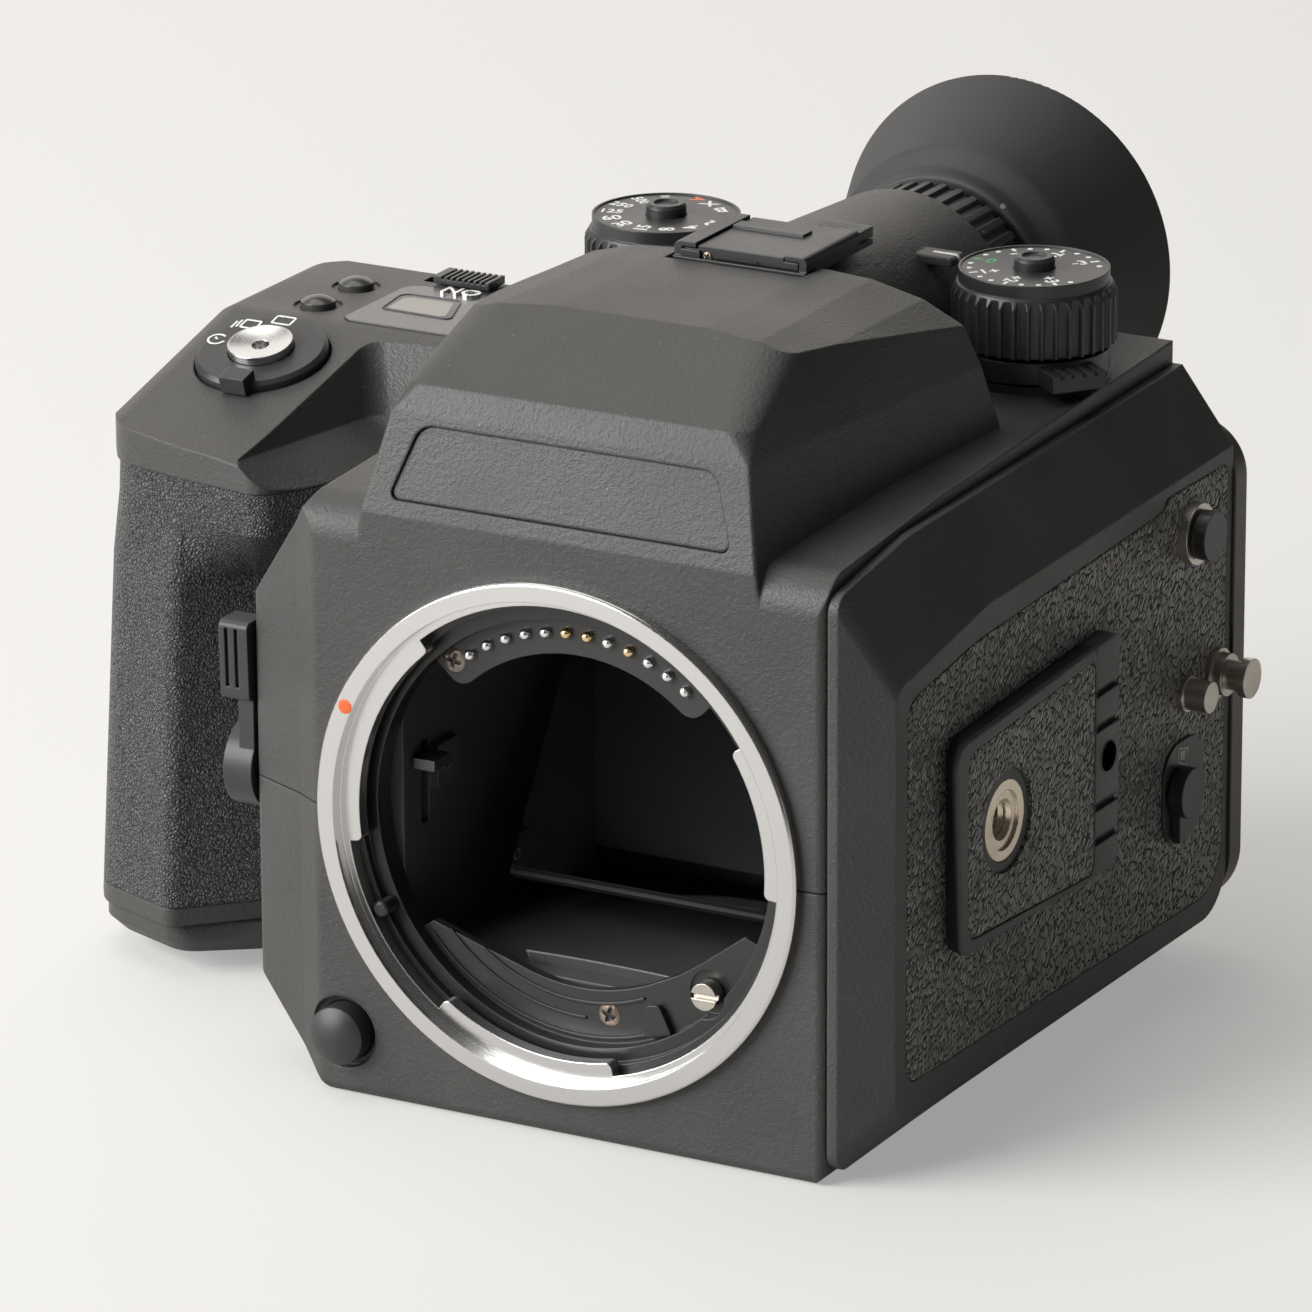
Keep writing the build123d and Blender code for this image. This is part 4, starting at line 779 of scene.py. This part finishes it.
class Dial:
    # the middle of a dial's sunk top, on which signs lie in its own polar angles
    def __init__(self, node):
        low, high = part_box(node)
        self.body = bodyOf[node]
        self.middle = ((low.x + high.x) / 2 / mm, (low.y + high.y) / 2 / mm, high.z / mm - dialSigns["inset"])

    def place(self, radius, degrees, turn):
        # a spot on the dial, whose up direction is the radius turned by a quarter either way
        angle = radians(degrees)
        spot = (self.middle[0] + radius * cos(angle), self.middle[1] + radius * sin(angle), self.middle[2])
        return frameAt(spot, (0, 0, 1), (-turn * sin(angle), turn * cos(angle), 0))

    def word(self, words, radius, degrees, height, turn=1.0):
        return signShape(words, height, self.place(radius, degrees, turn), dialSigns["depth"])

    def bar(self, first, last, half, degrees):
        # short radial bar
        outline = np.array([[first, -half], [last, -half], [last, half], [first, half]])
        angle = radians(degrees)
        place = frameAt(self.middle, (0, 0, 1), (-sin(angle), cos(angle), 0))
        return flatShape(outline, place, dialSigns["depth"])

    def dot(self, degrees):
        outline = arcPath(dialSigns["dotSize"], 0, 360, 15)[:-1]
        angle = radians(degrees)
        radius = dialSigns["dotRadius"]
        x, y, z = self.middle
        spot = shifted(Matrix.Identity(4), x + radius * cos(angle), y + radius * sin(angle), z)
        return flatShape(outline, spot, dialSigns["depth"])


dial = Dial("shutter_dial")
shapes = []
for index, word in enumerate(dialSigns["speeds"]):
    if word:
        degrees = dialSigns["speedStart"] + dialSigns["speedStep"] * index
        height = dialSigns["speedHeight"][len(word)]
        shapes.append(dial.word(word, dialSigns["speedRadius"], degrees, height, -1.0))
joinShapes("shutterDialSigns", shapes, "whitePaint", dial.body)
joinShapes("shutterDialMark", [dial.word(*dialSigns["mark"], -1.0)], "orangePaint", dial.body)

dial = Dial("exposure_dial")
shapes = []
for degrees in dialSigns["dots"]:
    if degrees in dialSigns["steps"]:
        shapes.append(dial.bar(*dialSigns["stepBar"], degrees))
        shapes.append(dial.word(dialSigns["steps"][degrees], dialSigns["stepRadius"], degrees,
                                dialSigns["stepHeight"]))
    elif degrees != dialSigns["zero"]:
        shapes.append(dial.dot(degrees))
joinShapes("exposureDialSigns", shapes, "whitePaint", dial.body)
shapes = [dial.word("0", dialSigns["stepRadius"], dialSigns["zero"], dialSigns["stepHeight"]),
          dial.bar(*dialSigns["zeroBar"], dialSigns["zero"])]
joinShapes("exposureDialMark", shapes, "greenPaint", dial.body)
print("stage: dial signs made")


# Index line bent over the tab beside the exposure dial

indexLine = {"depth": 89.8, "thick": 0.05, "half": 0.32,
             "path": [(13.8, 65.86), (17.4, 65.86), (17.75, 65.72), (18.0, 65.45), (18.08, 64.5)]}
bar = barProfile(indexLine["thick"], -indexLine["half"], indexLine["half"])
makePiece("indexLine", ribbon(np.array(indexLine["path"]), bar, False), facingFront(indexLine["depth"]),
          "whitePaint", bodyOf["finder_housing"], sharp=50.0)


# Drive ring signs: single frame, row of frames and self-timer

driveSigns = {"origin": (-81.0, 57.6, 44.98), "tilt": 14.54, "heights": (1.45, 1.55), "half": 0.17,
              "round": 0.2, "timer": (-8.1, 0.8), "timerArc": (1.35, 50, 350),  # radius and both ends
              "frames": [[(-2.5, 7.4), (0.6, 7.4), (0.6, 9.5), (-2.5, 9.5)],
                         [(-6.6, 5.0), (-4.0, 5.0), (-4.0, 7.2), (-6.6, 7.2)]],
              "behind": [[(-7.2, 4.9), (-7.2, 6.9)], [(-7.8, 4.5), (-7.8, 6.4)]],
              "hand": [(-0.5, 0.5), (0.05, -0.05)]}
tilt = radians(driveSigns["tilt"])
ringPlace = frameAt(driveSigns["origin"], (0, -sin(tilt), cos(tilt)), (0, cos(tilt), sin(tilt)))
timer = np.array(driveSigns["timer"])
lines = driveSigns["behind"] + [timer + arcPath(*driveSigns["timerArc"], steps=30)]
lines.append(timer + np.array(driveSigns["hand"]))
frames = [roundedPath(corners, [driveSigns["round"]] * 4, steps=3) for corners in driveSigns["frames"]]
shapes = [strokeAlong(path, driveSigns["half"], driveSigns["heights"], ringPlace, True) for path in frames]
shapes += [strokeAlong(path, driveSigns["half"], driveSigns["heights"], ringPlace) for path in lines]
joinShapes("driveSigns", shapes, "whitePaint", bodyOf["drive_ring"])


# Display: border, window and the raised word beside the slider

display = {"face": 48.45, "border": [(-72.5, 78.0), (-73.7, 86.3), (-63.8, 86.8), (-60.4, 77.5)],
           "borderRadii": [0.8, 1.5, 1.5, 0.8], "borderThick": 0.1, "windowRadii": [0.8, 1.2, 1.2, 0.8],
           "window": [(-71.9, 78.5), (-72.3, 85.0), (-64.2, 85.4), (-61.6, 78.2)], "windowThick": 0.16,
           "edgeHalf": 0.14, "edgeHeights": (-0.05, 0.14),
           "word": (-65.65, 90.4), "wordLift": 0.2, "wordHeight": 2.9, "wordDepth": 0.5}
panelBody = bodyOf["display_panel"]
face = shifted(Matrix.Identity(4), 0, 0, display["face"])
border = roundedPath(display["border"], display["borderRadii"])
window = roundedPath(display["window"], display["windowRadii"])
joinShapes("displayBorder", [flatShape(border, face, display["borderThick"])], "displayBorder", panelBody)
joinShapes("displayWindow", [flatShape(window, face, display["windowThick"])], "displayWindow", panelBody)
edge = strokeAlong(border, display["edgeHalf"], display["edgeHeights"], face, True)
joinShapes("displayEdge", [edge], "satinBlack", panelBody)
place = frameAt((*display["word"], display["face"] + display["wordLift"]), (0, 0, 1), (0, -1, 0))
word = signShape("ON", display["wordHeight"], place, display["wordDepth"])
joinShapes("powerWord", [word], "signChrome", panelBody)
print("stage: signs on the grip made")


# Front of the shoe cover: small clip and a slot drawn as a black patch of painted shade

shoeFront = {"depth": 56.2, "clipRound": 0.35, "clipDepth": 0.8, "slotRound": 0.2, "slotDepth": 0.1,
             "clip": [(-9.6, 70.7), (-6.4, 70.7), (-6.4, 71.8), (-9.6, 71.8)],
             "slot": [(-3.9, 70.85), (2.8, 70.85), (2.8, 71.35), (-3.9, 71.35)]}
coverBody = bodyOf["shoe_cover"]
place = facingFront(shoeFront["depth"])
clip = roundedPath(shoeFront["clip"], [shoeFront["clipRound"]] * 4, steps=5)
slot = roundedPath(shoeFront["slot"], [shoeFront["slotRound"]] * 4, steps=4)
joinShapes("shoeClip", [flatShape(clip, place, shoeFront["clipDepth"])], "controlPlastic", coverBody)
# painted shade: a thin black patch on the face stands in for the slot's dark opening
joinShapes("shoeSlotShade", [flatShape(slot, place, shoeFront["slotDepth"])], "flatBlack", coverBody)
print("stage: shoe front made")


# Throat: raised steps, wedge and the bright baffle sheet behind its lip; a bead is its radius and both ends

throat = {"face": 7.9, "beads": [(27.9, -139.0, -88.0), (30.75, -141.0, -70.0), (25.6, -128.0, -66.0)],
          "beadHalf": 0.22, "beadHeights": (-0.2, 0.28),
          "wedge": [(10.9, -28.9), (15.2, -27.8), (13.2, -23.7), (11.0, -24.0)],
          "wedgeRadii": [0.3, 0.3, 1.0, 1.0], "wedgeThick": 2.2}
throatFace = facingFront(throat["face"])
shapes = [strokeAlong(arcPath(*bead, steps=60), throat["beadHalf"], throat["beadHeights"], throatFace)
          for bead in throat["beads"]]
joinShapes("throatSteps", shapes, "satinBlack")
wedge = roundedPath(throat["wedge"], throat["wedgeRadii"], steps=6)
joinShapes("throatWedge", [flatShape(wedge, throatFace, throat["wedgeThick"])], "satinBlack")

baffle = {"middle": 1.0, "half": 11.8, "top": -20.9, "low": -23.9, "depth": 11.6, "lean": 1.6, "sag": 0.5,
          "thick": 0.25, "columns": 40, "rows": 10}
across = np.linspace(-1, 1, baffle["columns"])
down = np.linspace(0, 1, baffle["rows"])
across, down = np.meshgrid(across, down, indexing="ij")
x = baffle["half"] * across + baffle["middle"]  # the sheet sags in the middle and leans back towards its foot
y = baffle["depth"] + baffle["lean"] * down + baffle["sag"] * (1 - across ** 2)
z = baffle["top"] + (baffle["low"] - baffle["top"]) * down
shape = (np.stack([x, y, z], axis=-1).reshape(-1, 3), gridFaces(baffle["columns"], baffle["rows"]))
sheet = makePiece("baffleSheet", shape, Matrix.Identity(4), "baffleSheet")
sheet.modifiers.new("thickness", "SOLIDIFY").thickness = baffle["thick"] * mm
print("stage: throat made")


# Right side: leather, raised plate with its grooved strip, and the plate's leather. An outline is seen from
# the side: its run towards the back and its height. An edge lists insets and heights above the side

rightSide = {"origin": (50.8, 9.8, 0.0), "normal": (0.999891, -0.014791, 0.0), "directions": 900,
             "spacing": 0.5, "sunk": -0.5, "socket": (24.6, 2.2), "bushRadius": 5.95, "wellRadius": 7.5,
             "wellFloor": 2.5}
sidePlate = {"outline": [(10.9, -14.3), (59.1, -15.3), (58.8, 20.4), (9.0, 17.5)],
             "foot": [(11.8, -14.1), (59.0, -15.2), (58.7, 20.3), (11.5, 17.4)],
             "radii": [2.5, 2.5, 1.8, 3.2], "top": 3.0, "loops": 60, "pocketFloor": 2.35, "pocketGap": 0.14,
             "underside": 0.9, "stepDown": 1.3, "stepRun": (0.1, 0.2), "edgeWidth": 0.6,
             "edge": [(0.3, 0.08), (0.08, 0.3), (0.0, 0.6)]}
plateLeather = {"outline": [(12.9, -12.1), (51.7, -14.3), (51.6, 18.0), (12.7, 15.4)],
                "radii": [2.0, 1.6, 1.6, 2.0], "base": 2.3, "gap": 0.1,
                "innerEdge": [(0.0, 2.95), (0.15, 3.0)],
                "outerEdge": [(0.4, 3.0), (0.12, 2.94), (0.0, 2.78), (0.0, 2.3)]}
plateStrip = {"run": (51.9, 59.4), "ends": (-15.15, 20.0), "rise": 0.058, "radius": 2.0,
              "endLoops": (0.0, 0.1, 0.35, 0.8, 1.4, 2.0), "endRound": ([0, 0.1, 0.35], [0.35, 0.1, 0]),
              "edge": [(0.3, 0.0), (0.08, 0.1), (0.0, 0.35)],
              "grooves": (-10.3, -5.1, 6.8, 12.1), "grooveHeight": 1.4, "grooveDepth": 0.9, "sharpness": 0.02}
sidePlace = frameAt(rightSide["origin"], rightSide["normal"], (0, 0, 1))
around = np.linspace(-pi, pi, rightSide["directions"], endpoint=False)
socket = rightSide["socket"]
sunk = rightSide["sunk"]


def sideOutline(values, key="outline"):
    return longPath(values[key], values["radii"], rightSide["spacing"])


def plateTop(drop=0.0):
    # flat less the drop, with a step down under the grooved strip
    start, run = sidePlate["stepRun"]
    first = plateStrip["run"][0] + start
    return lambda x, y: sidePlate["top"] - drop - sidePlate["stepDown"] * np.clip((x - first) / run, 0, 1)


def sidePiece(name, rings, finish, sharp=35.0, center=rightSide["socket"]):
    return makePiece(name, ringGrid(center, around, rings), sidePlace, finish, rootBody, sharp)


def leatherRings(values, inner, outer):
    # up the inner edge, across and down the outer edge
    base = [(inner, values["base"])]
    return (base + [(inner + apart, height) for apart, height in values["innerEdge"]]
            + [(outer - apart, height) for apart, height in values["outerEdge"]] + base)


plateReach = reachAt(sideOutline(sidePlate), socket, around)
footOutline = sideOutline(sidePlate, "foot")
footReach = reachAt(footOutline, socket, around)
inlayReach = reachAt(sideOutline(plateLeather), socket, around)
pocketReach = inlayReach + sidePlate["pocketGap"]
flatReach = plateReach - sidePlate["edgeWidth"]
bush = np.full_like(around, rightSide["bushRadius"])
well = np.full_like(around, rightSide["wellRadius"])
rings = [(bush, sunk), (bush, rightSide["wellFloor"]), (well, rightSide["wellFloor"]),
         (well, sidePlate["pocketFloor"]), (pocketReach, sidePlate["pocketFloor"])]
rings += [(pocketReach * (1 - share) + flatReach * share, plateTop())
          for share in np.linspace(0, 1, sidePlate["loops"])]
rings += [(plateReach - apart, plateTop(drop)) for apart, drop in sidePlate["edge"]]
rings += [(bush, sidePlate["underside"]), (bush, sunk)]
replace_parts(sidePiece("sidePlate", rings, "bodyPaint"), "tripod_lug_plate")

# the plate's dark wall leans in towards its foot
plateWall = {"inset": 1.0, "floor": 0.8, "shoulder": [(0.5, 2.2), (0.02, 2.4), (0.02, 2.1)], "foot": 0.1}
inner = bush + plateWall["inset"]
rings = [(inner, plateWall["floor"])]
rings += [(plateReach - apart, height) for apart, height in plateWall["shoulder"]]
rings += [(footReach, plateWall["foot"]), (footReach, sunk), (inner, sunk), (inner, plateWall["floor"])]
sidePiece("sidePlateWall", rings, "flatBlack", sharp=40.0)

# grooved strip: loops across it at every height; each groove deepens evenly downwards to a sharp edge
first, last = plateStrip["run"]
low, high = plateStrip["ends"]
heights = [low + step for step in plateStrip["endLoops"]]
for groove in plateStrip["grooves"]:
    heights += [groove - plateStrip["sharpness"], groove, groove + plateStrip["grooveHeight"]]
heights = np.array(heights + [high - step for step in reversed(plateStrip["endLoops"])])
top = np.full_like(heights, sidePlate["top"])
for groove in plateStrip["grooves"]:
    rise = (heights - groove) / plateStrip["grooveHeight"]
    top -= plateStrip["grooveDepth"] * np.where((rise >= 0) & (rise < 1), 1 - rise, 0)
fromEnd = np.minimum(heights - low, high - heights)
top -= np.interp(fromEnd, *plateStrip["endRound"])
radius = plateStrip["radius"]
ends = last - radius + np.sqrt(radius ** 2 - np.clip(radius - fromEnd, 0, radius) ** 2)
flat = np.zeros_like(heights)
loops = [(flat + first, top)] + [(ends - apart, top - drop) for apart, drop in plateStrip["edge"]]
loops += [(ends, flat), (flat + first, flat)]
points = np.stack([np.stack([x, heights, z], axis=-1) for x, z in loops], axis=1)
points[..., 1] += plateStrip["rise"] * (points[..., 0] - first) * np.clip(points[..., 1] / high, 0, 1)
middle = points.mean(axis=1, keepdims=True)
caps = [np.repeat(end, len(loops), axis=1) for end in (middle[:1], middle[-1:])]
points = np.concatenate([caps[0], points, caps[1]])
shape = (points.reshape(-1, 3), gridFaces(len(points), len(loops), True))
makePiece("sidePlateStrip", shape, sidePlace, "bodyPaint", sharp=30.0)

rings = leatherRings(plateLeather, well + plateLeather["gap"], inlayReach)
inlay = sidePiece("sidePlateLeather", rings, "sideLeather", sharp=50.0)
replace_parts(inlay, "tripod_lug_leather")

sideLeather = {"outline": [(0.2, -29.9), (99.6, -31.9), (99.6, 33.8), (80.0, 33.8), (78.9, 32.2),
                           (20.0, 29.4), (0.2, 26.3)],
               "radii": [3.0, 7.5, 1.5, 1.0, 0.5, 12.0, 3.0], "middle": (55.0, 1.0), "gap": 0.1,
               "base": -0.45, "innerEdge": [(0.0, 0.1), (0.2, 0.15)],
               "outerEdge": [(0.4, 0.15), (0.12, 0.1), (0.0, -0.05), (0.0, -0.5)]}
middle = sideLeather["middle"]
rings = leatherRings(sideLeather, reachAt(footOutline, middle, around) + sideLeather["gap"],
                     reachAt(sideOutline(sideLeather), middle, around))
leather = sidePiece("sideLeather", rings, "sideLeather", sharp=50.0, center=middle)
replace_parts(leather, "side_leather")

# hole in the strip with a thin raised rim; both profiles are distances past the hole's radius and heights
hole = {"spot": (56.0, 2.3), "radius": 2.2, "edge": [(0.0, 0.05), (0.05, 0.02), (0.05, -1.1)],
        "rim": [(0.0, -0.5), (0.0, 0.02), (0.12, 0.12), (0.24, 0.02), (0.24, -0.5), (0.0, -0.5)]}
holePlace = shifted(sidePlace, *hole["spot"], sidePlate["top"])
edge, rim = [[(hole["radius"] + apart, height) for apart, height in hole[key]] for key in ("edge", "rim")]
profile = [(0.0, edge[0][1])] + edge + [(0.0, edge[-1][1])]
# painted shade: the hole is a black plug without reflection set over the opening
makePiece("plateHole", lathe(profile, turns=48), holePlace, "holeShade", sharp=40.0)
makePiece("plateHoleRim", lathe(rim, turns=48), holePlace, "bodyPaint", sharp=40.0)

# thread in the socket: the radius goes to and fro at every half pitch
thread = {"radius": 3.02, "root": 2.45, "pitch": 1.27, "turns": 5, "top": 2.0, "wall": 0.1}
steps = np.arange(thread["turns"] * 2 + 1)
reach = np.where(steps % 2, thread["root"], thread["radius"])
drop = thread["top"] - steps * thread["pitch"] / 2
outside = thread["radius"] + thread["wall"]
profile = np.concatenate([np.stack([reach, drop], axis=-1),
                          [[outside, drop[-1]], [outside, drop[0]], [thread["radius"], drop[0]]]])
makePiece("socketThread", lathe(profile, turns=60), shifted(sidePlace, *socket, 0.0), "wornBush",
          sharp=25.0)

# frame sign above the multi-exposure knob
icon = {"outer": [(83.38, -7.61), (83.65, -5.48), (86.70, -6.25), (86.44, -8.71)],
        "inner": [(84.04, -7.34), (84.20, -5.97), (85.89, -6.32), (85.74, -7.70)],
        "round": 0.15, "half": 0.13, "face": 0.6, "thick": 0.08, "heights": (-0.05, 0.04)}
face = shifted(sidePlace, 0.0, 0.0, icon["face"])
outline = roundedPath(icon["outer"], [icon["round"]] * 4, steps=3)
shapes = [strokeAlong(outline, icon["half"], icon["heights"], face, True),
          flatShape(np.array(icon["inner"]), face, icon["thick"])]
joinShapes("multiExposureSign", shapes, "greyPaint", bodyOf["multi_exposure_plate"])
print("stage: right side made")


# Floor, lights and camera; the floor and the lights are placed in metres

studio = {"floorZ": -44.05 * mm, "floorSize": 6.0, "floorColor": (0.8, 0.785, 0.765, 1.0),
          "bounceColor": (0.36, 0.35, 0.335, 1.0), "cameraColor": (0.93, 0.925, 0.91, 1.0),
          "worldFill": 0.012, "worldGloss": 0.06, "cameraShare": 0.36, "glossShare": 0.07}
softboxes = {
    "keyBox": {"spot": (-1.05, -1.15, 0.75), "aim": (0.0, 0.0, 0.0), "size": (1.5, 1.2), "power": 50.0,
               "color": (1.0, 1.0, 1.0)},
    "backBox": {"spot": (-0.9, 1.35, 0.75), "aim": (0.0, 0.05, 0.03), "size": (2.2, 1.2), "power": 11.0,
                "color": (1.0, 0.955, 0.905)},
    "sideBox": {"spot": (1.3, 0.3, 0.12), "aim": (0.0, 0.05, 0.0), "size": (0.5, 0.3), "power": 0.6,
                "color": (1.0, 0.985, 0.96)},
    "topBox": {"spot": (-0.45, 0.1, 1.5), "aim": (0.0, 0.05, 0.0), "size": (1.2, 1.2), "power": 10.0,
               "color": (1.0, 0.98, 0.95)},
}


def backdropShare(tree, rays, seenShare, glossShare):
    # how much of the pale glow a ray sees: camera and glass rays one share, mirror rays another
    seen = combine(tree, "MAXIMUM", rays["Is Camera Ray"], rays["Is Transmission Ray"])
    seen = combine(tree, "MULTIPLY", seen, seenShare)
    return combine(tree, "MAXIMUM", seen, combine(tree, "MULTIPLY", rays["Is Glossy Ray"], glossShare))


def floorMaterial():
    # plain diffuse floor, dimmer for the light it throws back; a pale glow keeps the ground near white
    material = bpy.data.materials.new("studioFloor")
    material.use_nodes = True
    tree = material.node_tree
    tree.nodes.clear()
    rays = addNode(tree, "LightPath").outputs
    color = mixColor(tree, rays["Is Diffuse Ray"], studio["floorColor"], studio["bounceColor"])
    diffuse = addNode(tree, "BsdfDiffuse", {"Color": color}).outputs["BSDF"]
    glow = addNode(tree, "Emission", {"Color": studio["cameraColor"], "Strength": 1.0}).outputs["Emission"]
    share = backdropShare(tree, rays, studio["cameraShare"], studio["glossShare"])
    mix = addNode(tree, "MixShader", {0: share, 1: diffuse, 2: glow}).outputs["Shader"]
    addNode(tree, "OutputMaterial", {"Surface": mix})
    return material


def worldMaterial():
    # dim even fill; camera, mirror and glass rays see the pale backdrop instead
    world = bpy.data.worlds.new("studioWorld")
    world.use_nodes = True
    tree = world.node_tree
    tree.nodes.clear()
    rays = addNode(tree, "LightPath").outputs
    fill = addNode(tree, "Background", {"Color": (1.0, 1.0, 1.0, 1.0), "Strength": studio["worldFill"]})
    pale = addNode(tree, "Background", {"Color": studio["cameraColor"], "Strength": 1.0})
    share = backdropShare(tree, rays, 1.0, studio["worldGloss"])
    mix = addNode(tree, "MixShader", {0: share, 1: fill.outputs["Background"], 2: pale.outputs["Background"]})
    addNode(tree, "OutputWorld", {"Surface": mix.outputs["Shader"]})
    bpy.context.scene.world = world


def softbox(name, box):
    light = bpy.data.lights.new(name, "AREA")
    light.shape = "RECTANGLE"
    light.size, light.size_y = box["size"]
    light.energy = box["power"]
    light.color = box["color"]
    holder = bpy.data.objects.new(name, light)
    holder.location = box["spot"]
    holder.rotation_euler = (Vector(box["aim"]) - Vector(box["spot"])).to_track_quat("-Z", "Y").to_euler()
    bpy.context.scene.collection.objects.link(holder)


half = studio["floorSize"] / 2
level = studio["floorZ"]
corners = [(-half, -half, level), (half, -half, level), (half, half, level), (-half, half, level)]
floorMesh = bpy.data.meshes.new("floor")
floorMesh.from_pydata(corners, [], [(0, 1, 2, 3)])
floorMesh.materials.append(floorMaterial())
floor = bpy.data.objects.new("floor", floorMesh)
bpy.context.scene.collection.objects.link(floor)
worldMaterial()
for name, box in softboxes.items():
    softbox(name, box)

# the photograph's camera: its place, its turn as azimuth, elevation and roll, and its focal length
photoCamera = {"spot": (584.0, -1033.2, 426.8), "azimuth": 28.7668, "elevation": 18.5653, "roll": -0.2581,
               "focal": 246.95, "sensor": 36.0, "near": 0.05, "far": 20.0}
azimuth = radians(photoCamera["azimuth"])
elevation = radians(photoCamera["elevation"])
roll = radians(photoCamera["roll"])
right = Vector((cos(azimuth), sin(azimuth), 0.0))
back = Vector((sin(azimuth) * cos(elevation), -cos(azimuth) * cos(elevation), sin(elevation)))
up = back.cross(right)
cameraData = bpy.data.cameras.new("photoCamera")
cameraData.sensor_width = photoCamera["sensor"]
cameraData.lens = photoCamera["focal"]
cameraData.clip_start = photoCamera["near"]
cameraData.clip_end = photoCamera["far"]
camera = bpy.data.objects.new("photoCamera", cameraData)
camera.matrix_world = frameAt(photoCamera["spot"], back, up * cos(roll) - right * sin(roll))
bpy.context.scene.collection.objects.link(camera)
bpy.context.scene.camera = camera
bpy.context.scene.view_settings.view_transform = "Standard"
print("stage: studio set")
